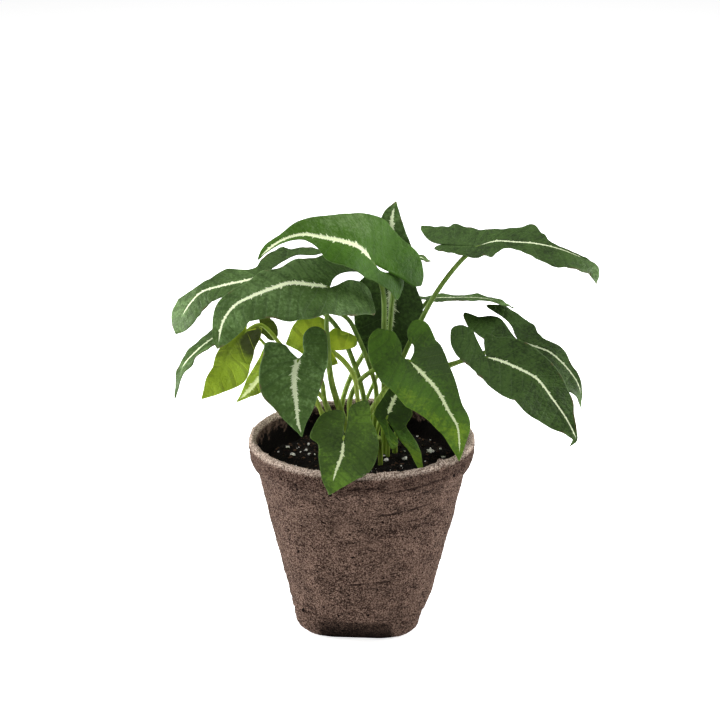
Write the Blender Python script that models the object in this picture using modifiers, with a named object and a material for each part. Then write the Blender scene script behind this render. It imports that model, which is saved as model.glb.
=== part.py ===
"""A young potted arrowhead vine, in metres with +Z up: a moulded fibre pot, the soil in it and eighteen leaves.

The origin is the middle of the pot's underside, and the front of the plant faces -Y. Every size below is in
millimetres and is turned into metres where the meshes are made.
"""

import math

import bmesh
import bpy
import numpy as np

MM = 0.001
GAP = 0.3

# Pot: a round body with a collar, which ends in a foot that is a rounded square
POT_HEIGHT = 105.0
RIM_RADIUS = 60.3
SHOULDER_RADIUS = 55.4
BODY_FOOT_RADIUS = 39.0
WALL = 3.2
COLLAR_BOTTOM = 84.0
FOOT_TOP = 16.0
FOOT_HALF_SIDE = 33.4
FOOT_TURN = math.radians(-4)
FOOT_SHIFT = -1.5
LEAN_HEIGHT = 60.0
FLOOR = 4.5
SQUARENESS = 3.0
POT_SIDES = 48

# The recess in the bottom of each flat side of the foot
RECESS_WIDTH = 39.0
RECESS_HEIGHT = 12.5
RECESS_DEPTH = 4.2
RECESS_LEAN = 4.8

# Soil: fills the pot to a little under the rim
SOIL_EDGE = 89.0
SOIL_MIDDLE = 92.0
SOIL_BUMP = 0.9
SOIL_CHAMFER = 0.4
HOLE_BOTTOM = 72.0
HOLE_DEPTH = 40.0
HOLE_CLEARANCE = 0.4
HOLE_SIDES = 10

# Leaves
BLADE_THICKNESS = 0.8
STALK_UPRIGHT = (74.0, 95.0, 99.0)
STALK_STEPS = 13
STALK_TUCK = 4.0
STALK_SINK = 0.3
CURL_SPAN = 25.0
LOBE_EASING = 6.0
RIB_STEPS = 60
EDGE_STEPS = 200
SMALL_LEAF = 40.0

LEAF_GREEN = (0.045, 0.11, 0.035)
BRIGHT_GREEN = (0.10, 0.20, 0.03)
YOUNG_GREEN = (0.26, 0.34, 0.04)


def unit(vector):
    return vector / np.linalg.norm(vector)


def mix(first, second, share):
    return first * (1 - share) + second * share


def even_curve(points, steps):
    """Points at even spacing along a smooth curve through the given ones, and the curve's length."""
    given = np.array(points, float)
    given = np.vstack([2 * given[0] - given[1], given, 2 * given[-1] - given[-2]])
    leaps = np.linalg.norm(np.diff(given, axis=0), axis=1)
    knots = np.concatenate([[0], np.cumsum(np.sqrt(leaps))])
    fine = []
    for i in range(1, len(given) - 2):
        p0, p1, p2, p3 = given[i - 1 : i + 3]
        t0, t1, t2, t3 = knots[i - 1 : i + 3]
        for t in np.linspace(t1, t2, 24, endpoint=False):
            before = mix(p0, p1, (t - t0) / (t1 - t0))
            here = mix(p1, p2, (t - t1) / (t2 - t1))
            after = mix(p2, p3, (t - t2) / (t3 - t2))
            early = mix(before, here, (t - t0) / (t2 - t0))
            late = mix(here, after, (t - t1) / (t3 - t1))
            fine.append(mix(early, late, (t - t1) / (t2 - t1)))
    fine.append(given[-2])
    fine = np.array(fine)
    run = np.concatenate([[0], np.cumsum(np.linalg.norm(np.diff(fine, axis=0), axis=1))])
    wanted = np.linspace(0, run[-1], steps + 1)
    return np.stack([np.interp(wanted, run, axis) for axis in fine.T], axis=1), run[-1]


def place_on(curve, place):
    low = min(int(place), len(curve) - 2)
    return mix(curve[low], curve[low + 1], place - low)


def principled(name, colour, roughness):
    material = bpy.data.materials.new(name)
    material.use_nodes = True
    shader = material.node_tree.nodes["Principled BSDF"]
    shader.inputs["Base Color"].default_value = (*colour, 1)
    shader.inputs["Roughness"].default_value = roughness
    shader.inputs["Metallic"].default_value = 0.0
    return material


def mesh_object(name, points, faces, collection, material):
    """An object whose mesh holds these points in millimetres and these faces."""
    mesh = bpy.data.meshes.new(name)
    mesh.from_pydata([tuple(np.array(point) * MM) for point in points], [], faces)
    made = bpy.data.objects.new(name, mesh)
    collection.objects.link(made)
    mesh.materials.append(material)
    return made


def tidy(made):
    """Gives the mesh triangles only, no doubled points and faces that point out."""
    work = bmesh.new()
    work.from_mesh(made.data)
    bmesh.ops.remove_doubles(work, verts=work.verts, dist=0.00001)
    bmesh.ops.triangulate(work, faces=work.faces)
    bmesh.ops.recalc_face_normals(work, faces=work.faces)
    work.to_mesh(made.data)
    work.free()
    made.data.shade_smooth()


def apply_modifiers(made):
    """Replaces the mesh by what its modifiers make of it."""
    bpy.context.view_layer.update()
    graph = bpy.context.evaluated_depsgraph_get()
    shaped = bpy.data.meshes.new_from_object(made.evaluated_get(graph))
    made.modifiers.clear()
    made.data = shaped


def boolean(made, other, operation, solver="EXACT"):
    cut = made.modifiers.new(operation.lower(), "BOOLEAN")
    cut.operation = operation
    cut.solver = solver
    cut.object = other
    apply_modifiers(made)


def remove(made):
    bpy.data.objects.remove(made)


def ring_stack(rings):
    """Points and faces of a closed skin over rings of equal length, each end closed by a fan."""
    count = len(rings[0])
    points = [point for ring in rings for point in ring]
    faces = []
    for row in range(len(rings) - 1):
        for side in range(count):
            after = (side + 1) % count
            low = row * count
            high = low + count
            faces.append((low + side, low + after, high + after, high + side))
    for row in (0, len(rings) - 1):
        middle = len(points)
        points.append(np.mean(rings[row], axis=0))
        for side in range(count):
            faces.append((row * count + side, row * count + (side + 1) % count, middle))
    return points, faces


def pot_ring(height, radius, half_side, squareness_share):
    """One level of the pot: a circle, a rounded square, or something between the two."""
    ring = []
    for angle in np.linspace(0, math.tau, POT_SIDES, endpoint=False):
        turned = angle - FOOT_TURN
        spread = abs(math.cos(turned)) ** SQUARENESS + abs(math.sin(turned)) ** SQUARENESS
        square = half_side / spread ** (1 / SQUARENESS)
        reach = radius * (1 - squareness_share) + square * squareness_share
        lean = FOOT_SHIFT * max(0.0, 1 - height / LEAN_HEIGHT)
        ring.append((reach * math.cos(angle) + lean, reach * math.sin(angle), height))
    return ring


def body_radius(height):
    """The outside of the body between the foot and the collar."""
    share = (height - FOOT_TOP) / (COLLAR_BOTTOM - FOOT_TOP)
    return BODY_FOOT_RADIUS + (SHOULDER_RADIUS - BODY_FOOT_RADIUS) * share


def pot_inside():
    """Levels of the pot's inner face from its floor up, as (height, radius, half side, share of square)."""
    return [
        (FLOOR, 0, FOOT_HALF_SIDE - 8, 1),
        (12, 32, FOOT_HALF_SIDE - 4, 0.8),
        (20, body_radius(20) - WALL, 0, 0),
        (50, body_radius(50) - WALL, 0, 0),
        (COLLAR_BOTTOM + 2, SHOULDER_RADIUS - WALL, 0, 0),
        (COLLAR_BOTTOM + 5, RIM_RADIUS - 5.2, 0, 0),
        (POT_HEIGHT - 4, RIM_RADIUS - 4.4, 0, 0),
        (POT_HEIGHT - 0.6, RIM_RADIUS - 3.7, 0, 0),
    ]


def build_pot(collection, cutters):
    outside = [
        (0, 0, FOOT_HALF_SIDE - 4.0, 1),
        (1.2, 0, FOOT_HALF_SIDE - 2.3, 1),
        (3.5, 0, FOOT_HALF_SIDE - 0.9, 1),
        (6.5, 0, FOOT_HALF_SIDE - 0.1, 1),
        (9.5, 0, FOOT_HALF_SIDE + 0.7, 1),
        (12.5, BODY_FOOT_RADIUS - 0.6, FOOT_HALF_SIDE + 2, 0.6),
        (FOOT_TOP, BODY_FOOT_RADIUS, 0, 0),
        (38, body_radius(38), 0, 0),
        (62, body_radius(62), 0, 0),
        (COLLAR_BOTTOM, SHOULDER_RADIUS, 0, 0),
        (COLLAR_BOTTOM + 4, SHOULDER_RADIUS + 2.2, 0, 0),
        (COLLAR_BOTTOM + 9, RIM_RADIUS - 1.1, 0, 0),
        (POT_HEIGHT - 5.5, RIM_RADIUS, 0, 0),
        (POT_HEIGHT - 1.8, RIM_RADIUS - 0.4, 0, 0),
        (POT_HEIGHT, RIM_RADIUS - 2.1, 0, 0),
    ]
    levels = outside + pot_inside()[::-1]
    rings = [pot_ring(*level) for level in levels]
    material = principled("moulded_fibre", (0.27, 0.22, 0.18), 0.95)
    points, faces = ring_stack(rings)
    pot = mesh_object("pot", points, faces, collection, material)
    tidy(pot)
    for quarter in range(4):
        recess = foot_recess(quarter, cutters)
        boolean(pot, recess, "DIFFERENCE")
        remove(recess)
    tidy(pot)


def foot_recess(quarter, cutters):
    """A wedge that hollows the bottom of one flat side, deepest at the ground."""
    bpy.ops.mesh.primitive_cube_add(size=1)
    recess = bpy.context.active_object
    recess.name = "foot_recess_" + str(quarter)
    for vertex in recess.data.vertices:
        along = vertex.co.x * RECESS_WIDTH
        height = -1 if vertex.co.z < 0 else RECESS_HEIGHT
        inner = FOOT_HALF_SIDE - RECESS_DEPTH
        if vertex.co.z > 0:
            inner += RECESS_LEAN
        outward = FOOT_HALF_SIDE + 10 if vertex.co.y > 0 else inner
        vertex.co = (along * MM, outward * MM, height * MM)
    recess.rotation_euler.z = FOOT_TURN + quarter * math.pi / 2
    recess.location.x = FOOT_SHIFT * MM
    recess.hide_render = True
    recess.display_type = "WIRE"
    for holder in recess.users_collection:
        holder.objects.unlink(recess)
    cutters.objects.link(recess)
    return recess


def soil_height(x, y):
    """The top of the soil: a shallow heap with a few soft lumps."""
    spread = math.hypot(x, y) / (SHOULDER_RADIUS - WALL)
    lumps = math.sin(x * 0.23 + 1) * math.cos(y * 0.19) + 0.6 * math.sin(x * 0.11 - y * 0.31)
    return SOIL_EDGE + (SOIL_MIDDLE - SOIL_EDGE) * (1 - spread * spread) + SOIL_BUMP * lumps


def build_soil(collection, cutters, leaves):
    rings = []
    inset = 2 * GAP
    for height, radius, half_side, share in pot_inside()[:4]:
        rings.append(pot_ring(max(height, FLOOR + inset), radius - inset, half_side - inset, share))
    top = SHOULDER_RADIUS - WALL - 3 * GAP
    rings.append(pot_ring(COLLAR_BOTTOM, top, 0, 0))
    for radius in (top - SOIL_CHAMFER, top * 0.7, top * 0.4):
        level = pot_ring(SOIL_EDGE, radius, 0, 0)
        rings.append([(x, y, soil_height(x, y)) for x, y, _ in level])
    material = principled("dark_soil", (0.012, 0.010, 0.008), 1.0)
    points, faces = ring_stack(rings)
    soil = mesh_object("soil", points, faces, collection, material)
    tidy(soil)
    holes = [stalk_hole(leaf, cutters) for leaf in leaves]
    for hole in holes:
        boolean(soil, hole, "DIFFERENCE")
        remove(hole)
    tidy(soil)


def stalk_hole(leaf, cutters):
    """The upright round hole that a stalk stands in."""
    bpy.ops.mesh.primitive_cylinder_add(
        vertices=HOLE_SIDES,
        radius=(leaf.stalk_radii[0] + HOLE_CLEARANCE) / math.cos(math.pi / HOLE_SIDES) * MM,
        depth=HOLE_DEPTH * MM,
        location=(leaf.foot[0] * MM, leaf.foot[1] * MM, (HOLE_BOTTOM + HOLE_DEPTH / 2) * MM),
    )
    hole = bpy.context.active_object
    hole.name = "hole_" + leaf.name
    hole.hide_render = True
    hole.display_type = "WIRE"
    for holder in hole.users_collection:
        holder.objects.unlink(hole)
    cutters.objects.link(hole)
    return hole


def rolled(distance, slope, roll, easing=0.0):
    """How far out and how high a strip of this length ends, where the slope sets in over the easing."""
    out = 0.0
    height = 0.0
    for part in (0.1, 0.3, 0.5, 0.7, 0.9):
        here = part * distance
        started = 1 - math.exp(-here / easing) if easing else 1
        angle = math.radians(slope * started + roll * here / CURL_SPAN)
        out += math.cos(angle) * distance / 5
        height += math.sin(angle) * distance / 5
    return out, height


class Leaf:
    """A leaf in the plant's millimetres.

    rib: points along the midrib, from where the stalk meets the blade to the tip.
    foot, bends: where the stalk stands in the soil, and the points that it passes on the way up.
    faces: the ways that the upper face looks, evenly spaced from the base to the tip.
    left, right: each half of the outline from the notch round the lobe towards the tip, seen from above with
    the tip pointing away, as millimetres along the rib, below 0 behind its base, and across from it.
    fold, curl: degrees that each half is raised at the rib, and that it rolls over 25 mm.
    back: degrees that each lobe's line turns to the right behind the base, that it rises, and that it rolls.
    wave: height of the waves at the edge, their number and where they start.
    """

    def __init__(self, name, rib, foot, bends, faces, left, right, colour=LEAF_GREEN, fold=(0, 0),
                 curl=(0, 0), back=((0, 0, 0), (0, 0, 0)), wave=(0.5, 4, 0), stalk_radii=(1.6, 1.2)):
        self.name = name
        self.foot = foot
        self.colour = colour
        self.halves = {-1: left, 1: right}
        self.fold = {-1: fold[0], 1: fold[1]}
        self.curl = {-1: curl[0], 1: curl[1]}
        self.back = {-1: back[0], 1: back[1]}
        self.wave = wave
        self.stalk_radii = stalk_radii
        self.line, self.length = even_curve(rib, RIB_STEPS)
        ahead = np.gradient(self.line, axis=0)
        self.ahead = ahead / np.linalg.norm(ahead, axis=1)[:, None]
        looks = np.array([unit(np.array(face, float)) for face in faces])
        share = np.linspace(0, len(faces) - 1, RIB_STEPS + 1)
        up = np.stack([np.interp(share, range(len(faces)), axis) for axis in looks.T], axis=1)
        up -= (up * self.ahead).sum(axis=1)[:, None] * self.ahead
        self.up = up / np.linalg.norm(up, axis=1)[:, None]
        straight = [(*foot, height) for height in STALK_UPRIGHT]
        under = self.line[0] - self.up[0] * STALK_SINK
        self.route = [*straight, *bends, under, under + self.ahead[0] * STALK_TUCK]

    def frame(self, along):
        """The rib's point this far along it, with the directions ahead, up and to the right there."""
        place = min(max(along / self.length, 0), 1) * RIB_STEPS
        low = min(int(place), RIB_STEPS - 1)
        part = place - low
        point = mix(self.line[low], self.line[low + 1], part)
        ahead = unit(mix(self.ahead[low], self.ahead[low + 1], part))
        up = unit(mix(self.up[low], self.up[low + 1], part))
        return point, ahead, up, unit(np.cross(ahead, up))

    def point(self, along, across, side, spread, station):
        """A point of the blade: along the rib, behind the base where negative, and across from it."""
        point, ahead, up, right = self.frame(along)
        if along < 0:
            turn, rise, roll = self.back[side]
            behind, lifted = rolled(-along, rise, roll, LOBE_EASING)
            flat = right * math.sin(math.radians(turn)) - ahead * math.cos(math.radians(turn))
            point = point + flat * behind + up * lifted
        out, lift = rolled(across, self.fold[side], self.curl[side])
        height, count, start = self.wave
        lift += height * spread**2 * math.sin(math.tau * count * station + start + side)
        return point + right * side * out + up * lift

    def outline(self, side):
        """Half of the outline from notch to tip, and the places of the lobe's end and the waist on it."""
        curve, _ = even_curve([(0, 0), *self.halves[side], (self.length, 0)], EDGE_STEPS)
        lobe_end = int(np.argmin(curve[:, 0]))
        waist = lobe_end + int(np.argmax(curve[lobe_end:, 0] >= 0))
        return curve, lobe_end, waist

    def rows(self, side, lobe_steps, blade_steps):
        """Lines across half of the blade, from the lobe's end to the tip.

        Each is its inner and outer end, its place on the outline, and how far down the lobe it lies.
        """
        curve, lobe_end, waist = self.outline(side)
        rows = []
        for share in np.linspace(1, 0, lobe_steps, endpoint=False):
            place = mix(waist, lobe_end, share)
            rows.append((place_on(curve, lobe_end * share), place_on(curve, place), place, share))
        for place in np.linspace(waist, EDGE_STEPS, blade_steps + 1):
            start = self.length * (place - waist) / (EDGE_STEPS - waist)
            rows.append((np.array([start, 0]), place_on(curve, place), place, 0))
        return rows


def blade_surface(leaf, lobe_steps, blade_steps, across_steps):
    """Points and triangles of the open blade. Both halves share the rib's points."""
    points = []
    faces = []
    found = {}

    def index(point):
        key = tuple(np.round(point, 3))
        if key not in found:
            found[key] = len(points)
            points.append(point)
        return found[key]

    for side in (-1, 1):
        rows = []
        for inner, outer, place, lobe_share in leaf.rows(side, lobe_steps, blade_steps):
            row = []
            for share in np.linspace(0, 1, across_steps + 1):
                along, across = mix(inner, outer, share)
                spread = mix(share, 1, lobe_share)
                row.append(index(leaf.point(along, across, side, spread, place / EDGE_STEPS)))
            rows.append(row)
        for low, high in zip(rows, rows[1:]):
            for a, b, c, d in zip(low, low[1:], high[1:], high):
                for face in ((a, b, c), (a, c, d)):
                    if len(set(face)) == 3:
                        faces.append(face[::side])
    return points, faces


def stalk_mesh(leaf, collection):
    """The stalk as a tapering tube from the soil to under the blade."""
    route, _ = even_curve(leaf.route, STALK_STEPS)
    line = bpy.data.curves.new("stalk", "CURVE")
    line.dimensions = "3D"
    line.bevel_depth = MM
    line.bevel_resolution = 1
    line.use_fill_caps = True
    spline = line.splines.new("POLY")
    spline.points.add(len(route) - 1)
    radii = np.linspace(leaf.stalk_radii[0], leaf.stalk_radii[1], len(route))
    for knot, place, radius in zip(spline.points, route, radii):
        knot.co = (*(place * MM), 1)
        knot.radius = radius
    curve = bpy.data.objects.new("stalk_line", line)
    collection.objects.link(curve)
    bpy.context.view_layer.update()
    graph = bpy.context.evaluated_depsgraph_get()
    stalk = bpy.data.objects.new("stalk", bpy.data.meshes.new_from_object(curve.evaluated_get(graph)))
    stalk.matrix_world = curve.matrix_world
    collection.objects.link(stalk)
    remove(curve)
    tidy(stalk)
    return stalk


def build_leaf(leaf, collection):
    steps = (6, 11, 3) if leaf.length > SMALL_LEAF else (5, 8, 2)
    points, faces = blade_surface(leaf, *steps)
    material = principled(leaf.name + "_green", leaf.colour, 0.55)
    blade = mesh_object(leaf.name, points, faces, collection, material)
    tidy(blade)
    thicken = blade.modifiers.new("thickness", "SOLIDIFY")
    thicken.thickness = BLADE_THICKNESS * MM
    thicken.offset = 0
    apply_modifiers(blade)
    tidy(blade)
    stalk = stalk_mesh(leaf, collection)
    boolean(blade, stalk, "UNION", "MANIFOLD")
    remove(stalk)
    tidy(blade)


def plant_leaves():
    """Every leaf with its stalk, from the top of the plant round to the back."""
    return [
        Leaf(
            "leaf_top",
            rib=[
                (7, 0, 199), (-1, -5, 209), (-9, -8, 213), (-20, -11, 216), (-30, -13, 218),
                (-40, -16, 216), (-48, -18, 211), (-53, -19, 206),
            ],
            foot=(12, 8),
            bends=[(12, 8, 133), (12, 8, 160), (11, 5, 184)],
            faces=[(0.15, -0.5, 0.84), (0.1, -0.5, 0.86), (-0.2, -0.4, 0.9)],
            left=[
                (-4, 3), (-8, 4), (-12, 3.5), (-18, 2), (-23, 5), (-24, 11), (-21, 18), (-17, 16),
                (-10, 14), (-2, 11), (5, 13), (15, 16), (26, 16), (33, 14), (38, 7), (46, 4), (58, 2),
            ],
            right=[
                (-9, 0.6), (-18, 0.6), (-26, 1), (-31, 5), (-30, 10), (-26, 16), (-21, 21), (-13, 23),
                (-6, 25), (2, 26), (9, 24), (15, 21), (21, 18), (28, 15), (36, 12), (44, 9), (56, 4),
                (66, 3),
            ],
            colour=BRIGHT_GREEN,
            fold=(0, 20),
            curl=(-20, -12),
            back=((28, 28, -30), (2, 42, -35)),
            stalk_radii=(1.8, 1.3),
        ),
        Leaf(
            "leaf_upper_left",
            rib=[
                (-16, -12, 190), (-26, -18, 193), (-36, -22, 195), (-46, -26, 193), (-56, -30, 190),
                (-64, -32, 186), (-70, -34, 178), (-73, -36, 164),
            ],
            foot=(-5, -1),
            bends=[(-14, -5, 135), (-16, -9, 156), (-17, -11, 174)],
            faces=[(-0.1, -0.5, 0.86), (-0.15, -0.55, 0.82), (-0.3, -0.8, 0.5)],
            left=[
                (-6, 0.5), (-12, 0), (-18, 0), (-24, 2), (-30, 5), (-34, 11), (-34, 18), (-31, 26),
                (-27, 26), (-20, 24), (-10, 22), (-3, 19), (8, 19), (16, 22), (25, 23), (33, 22),
                (41, 16), (50, 13), (66, 11), (74, 6),
            ],
            right=[
                (-4, 6), (-10, 11), (-18, 15), (-26, 18), (-35, 24), (-43, 30), (-35, 30), (-25, 28),
                (-15, 27), (-6, 24), (2, 20), (10, 18), (18, 16), (25, 11), (34, 12), (41, 9), (52, 8),
                (60, 8), (68, 5), (75, 3),
            ],
            fold=(-8, 8),
            curl=(-5, 0),
            back=((30, 0, -5), (0, 0, -12)),
            stalk_radii=(2.4, 1.3),
        ),
        Leaf(
            "leaf_far_left",
            rib=[
                (-53, 22, 186), (-64, 20, 184), (-75, 18, 182), (-85, 16, 179), (-92, 12, 172),
                (-96, 8, 165), (-98, 6, 159),
            ],
            foot=(4, 4),
            bends=[(1, 5, 125), (-4, 8, 142), (-12, 13, 159), (-21, 18, 168), (-38, 22, 179)],
            faces=[(-0.1, -0.35, 0.93), (-0.2, -0.4, 0.9), (-0.6, -0.5, 0.6)],
            left=[
                (-5, 3), (-12, 6), (-19, 11), (-15, 15), (-6, 13), (4, 9), (12, 8), (24, 10), (38, 11),
                (50, 11), (56, 7),
            ],
            right=[
                (-6, 5), (-14, 10), (-22, 13), (-30, 9), (-36, 9), (-33, 14), (-27, 19), (-20, 20),
                (-15, 23), (-10, 20), (-4, 16), (2, 9), (8, 10), (15, 14), (21, 12), (28, 7), (35, 6),
                (43, 10), (49, 9), (56, 5),
            ],
            stalk_radii=(1.6, 1.2),
        ),
        Leaf(
            "leaf_left_narrow",
            rib=[
                (-74, 10, 159), (-82, 4, 155), (-87, -2, 152), (-92, -8, 148), (-95, -13, 143),
                (-97, -20, 132),
            ],
            foot=(6, 10),
            bends=[
                (8, 10, 124), (6, 9, 135), (-2, 11, 156), (-8, 13, 166), (-22, 12, 172), (-43, 14, 171),
                (-62, 14, 164),
            ],
            faces=[(-0.7, -0.35, 0.6)],
            left=[(-4, 3), (-9, 6), (-5, 9), (4, 9), (12, 8), (18, 9), (24, 6), (30, 6), (38, 3)],
            right=[(-4, 3), (-9, 6), (-5, 9), (3, 8), (10, 8), (16, 8), (24, 6), (32, 3), (42, 2)],
            fold=(-5, 5),
            stalk_radii=(1.5, 1),
        ),
        Leaf(
            "young_leaf_left",
            rib=[
                (-60, -4, 164), (-65, -8, 159), (-70, -11, 153), (-72, -13, 145), (-77, -16, 139),
                (-83, -18, 131),
            ],
            foot=(-12, 1),
            bends=[(-19, -3, 124), (-28, -5, 136), (-42, -4, 156), (-53, 0, 166)],
            faces=[(-0.3, -0.85, 0.3)],
            left=[(-4, 2), (-6, 5), (-2, 8), (5, 10), (11, 13), (18, 14), (24, 14), (29, 10), (36, 6)],
            right=[(-4, 3), (-5, 6), (0, 6), (8, 5), (16, 5), (23, 6), (31, 5), (38, 3)],
            colour=YOUNG_GREEN,
            fold=(0, 15),
            stalk_radii=(1.4, 1),
        ),
        Leaf(
            "young_leaf_lower_left",
            rib=[(-47, -18, 152), (-51, -22, 147), (-56, -26, 141), (-64, -31, 134)],
            foot=(-17, -5),
            bends=[(-24, -10, 129), (-34, -15, 144)],
            faces=[(-0.3, -0.7, 0.6)],
            left=[(-4, 2), (-8, 4), (-7, 8), (0, 9), (7, 8), (16, 6), (22, 3)],
            right=[(-4, 2), (-8, 4), (-6, 7), (0, 7), (6, 6), (13, 6), (19, 4), (24, 2)],
            colour=YOUNG_GREEN,
            stalk_radii=(1.3, 0.9),
        ),
        Leaf(
            "leaf_front_left",
            rib=[
                (-32, -30, 157), (-34, -36, 152), (-34, -41, 145), (-33, -46, 138), (-32, -49, 129),
                (-30, -50, 122),
            ],
            foot=(-10, -7),
            bends=[(-19, -12, 127), (-21, -20, 142), (-28, -26, 153)],
            faces=[(-0.05, -0.85, 0.5)],
            left=[
                (-5, 2), (-10, 1), (-15, 1), (-20, 4), (-22, 8), (-20, 12), (-13, 14), (-5, 15),
                (4, 15), (12, 15), (21, 12), (29, 8), (36, 4),
            ],
            right=[
                (-3, 5), (-6, 9), (-6, 15), (-4, 19), (4, 18), (11, 18), (18, 17), (24, 13), (30, 9),
                (36, 4),
            ],
            back=((10, 0, 0), (0, 0, 0)),
            stalk_radii=(1.6, 1.2),
        ),
        Leaf(
            "young_leaf_middle",
            rib=[(-16, 3, 151), (-24, 5, 154), (-32, 6, 155), (-40, 7, 153)],
            foot=(1, -2),
            bends=[(-2, -3, 126), (-4, -1, 138), (-10, 2, 146)],
            faces=[(-0.1, -0.75, 0.66)],
            left=[(-3, 2), (-6, 5), (-3, 8), (4, 8), (12, 8), (19, 5)],
            right=[(-4, 4), (-10, 10), (-6, 14), (2, 15), (10, 15), (17, 11), (22, 6)],
            colour=YOUNG_GREEN,
            stalk_radii=(1.3, 0.9),
        ),
        Leaf(
            "leaf_front_small",
            rib=[(-9, -44, 120), (-10, -52, 113), (-13, -60, 107), (-16, -69, 98)],
            foot=(10, -9),
            bends=[(9, -16, 109), (5, -28, 110), (-2, -39, 116)],
            faces=[(0, -0.85, 0.5)],
            left=[
                (-6, 1), (-12, 1), (-18, 2), (-21, 6), (-22, 10), (-17, 12), (-11, 13), (-5, 16),
                (4, 18), (12, 17), (18, 14), (25, 9), (30, 4),
            ],
            right=[
                (-6, 0.6), (-12, 0.6), (-15, 3), (-14, 8), (-11, 13), (-4, 16), (2, 17), (5, 13),
                (10, 12), (16, 11), (22, 8), (28, 5),
            ],
            stalk_radii=(1.4, 1.1),
        ),
        Leaf(
            "leaf_front_right",
            rib=[
                (25, -8, 149), (32, -16, 144), (39, -24, 138), (45, -32, 129), (49, -37, 123),
                (50, -41, 115), (50, -45, 107),
            ],
            foot=(-5, 6),
            bends=[(-6, 3, 124), (-1, 3, 134), (7, 1, 141), (16, -3, 146)],
            faces=[(-0.1, -0.72, 0.68), (-0.1, -0.75, 0.65), (-0.2, -0.9, 0.3)],
            left=[
                (-2, 3), (-6, 4), (-10, 2), (-15, 2), (-18, 6), (-16, 11), (-11, 15), (-4, 17), (3, 18),
                (10, 16), (18, 13), (27, 10), (36, 8), (46, 7), (56, 3),
            ],
            right=[
                (-5, 4), (-10, 3), (-15, 4), (-20, 6), (-24, 11), (-27, 16), (-25, 21), (-20, 23),
                (-13, 23), (-6, 21), (1, 19), (10, 18), (22, 18), (30, 15), (38, 11), (48, 9), (58, 4),
            ],
            colour=BRIGHT_GREEN,
            back=((-30, 24, 0), (-30, 24, 0)),
            stalk_radii=(1.6, 1.2),
        ),
        Leaf(
            "young_leaf_right",
            rib=[(13, -12, 118), (16, -8, 125), (20, -4, 132), (24, 0, 140)],
            foot=(14, 2),
            bends=[(13, -6, 115)],
            faces=[(0.1, -0.85, 0.5)],
            left=[
                (-7, 1), (-14, 1), (-20, 5), (-24, 10), (-18, 9), (-10, 7), (-3, 7), (4, 7), (10, 7),
                (18, 5), (24, 3),
            ],
            right=[
                (-8, 0.6), (-14, 0.6), (-20, 2), (-28, 1), (-37, 1), (-31, 4), (-24, 7), (-17, 10),
                (-9, 12), (0, 11), (7, 12), (14, 9), (21, 5),
            ],
            colour=BRIGHT_GREEN,
            back=((50, 20, 0), (50, 20, 0)),
            stalk_radii=(1.2, 1),
        ),
        Leaf(
            "leaf_upper_right",
            rib=[
                (60, 10, 206), (70, 9, 209), (80, 7, 209), (90, 4, 209), (102, 1, 207), (113, -1, 203),
                (122, -2, 198), (123, -4, 196), (122, -4, 189),
            ],
            foot=(8, 19),
            bends=[(22, 17, 142), (31, 14, 163), (40, 12, 181), (53, 10, 199)],
            faces=[(0.05, -0.35, 0.93), (0.05, -0.3, 0.95), (0.4, -0.3, 0.87)],
            left=[
                (-6, 0.6), (-12, 0.6), (-18, 0.6), (-25, 5), (-30, 17), (-23, 16), (-16, 17), (-10, 19),
                (-3, 17), (4, 14), (12, 11), (20, 14), (26, 17), (33, 11), (42, 3), (52, 1), (64, 1),
            ],
            right=[
                (-6, 0.6), (-14, 0.6), (-22, 1), (-26, 3), (-22, 6), (-13, 9), (-5, 10), (3, 9),
                (7, 13), (12, 11), (18, 7), (24, 9), (31, 11), (37, 15), (44, 18), (52, 15), (60, 11),
                (70, 7),
            ],
            back=((-26, 6, 0), (-28, -2, 0)),
            stalk_radii=(1.6, 1.2),
        ),
        Leaf(
            "leaf_back_right",
            rib=[(37, 41, 169), (49, 38, 170), (63, 34, 171), (74, 31, 170), (82, 28, 167)],
            foot=(3, 25),
            bends=[(24, 33, 144), (32, 39, 162)],
            faces=[(0, 0.15, 0.98)],
            left=[(-4, 2), (-8, 6), (-4, 10), (4, 12), (12, 13), (21, 13), (31, 9), (40, 4)],
            right=[(-4, 2), (-8, 6), (-4, 10), (4, 12), (12, 13), (21, 13), (31, 9), (40, 4)],
            stalk_radii=(1.3, 1),
        ),
        Leaf(
            "leaf_lower_right",
            rib=[
                (65, -8, 151), (72, -11, 150), (82, -16, 147), (91, -21, 143), (98, -27, 135),
                (105, -33, 126), (109, -37, 119), (110, -38, 116), (107, -40, 113),
            ],
            foot=(2, -7),
            bends=[
                (3, -13, 119), (9, -15, 130), (15, -11, 137), (31, -3, 140), (46, 0, 144),
                (57, -3, 148),
            ],
            faces=[(0.1, -0.65, 0.75), (0.2, -0.65, 0.72), (0.3, -0.8, 0.5)],
            left=[
                (-5, 3), (-8, 7), (-4, 12), (4, 15), (12, 16), (20, 16), (27, 14), (34, 12), (41, 11),
                (50, 9), (56, 5), (64, 2),
            ],
            right=[
                (-6, 0.6), (-14, 1), (-20, 1), (-26, 4), (-33, 10), (-37, 17), (-33, 22), (-26, 22),
                (-17, 19), (-8, 15), (0, 13), (9, 17), (19, 19), (31, 19), (42, 18), (50, 14), (57, 10),
                (64, 4),
            ],
            back=((-45, 0, 0), (-50, 0, 0)),
            stalk_radii=(1.5, 1.2),
        ),
        Leaf(
            "leaf_far_right",
            rib=[
                (83, 12, 154), (91, 8, 152), (99, 4, 150), (107, -1, 144), (113, -7, 137),
                (115, -11, 131), (115, -14, 124),
            ],
            foot=(18, 10),
            bends=[(34, 11, 133), (48, 12, 140), (68, 14, 147)],
            faces=[(0.1, -0.5, 0.86), (0.2, -0.5, 0.84), (0.6, -0.5, 0.5)],
            left=[
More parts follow.
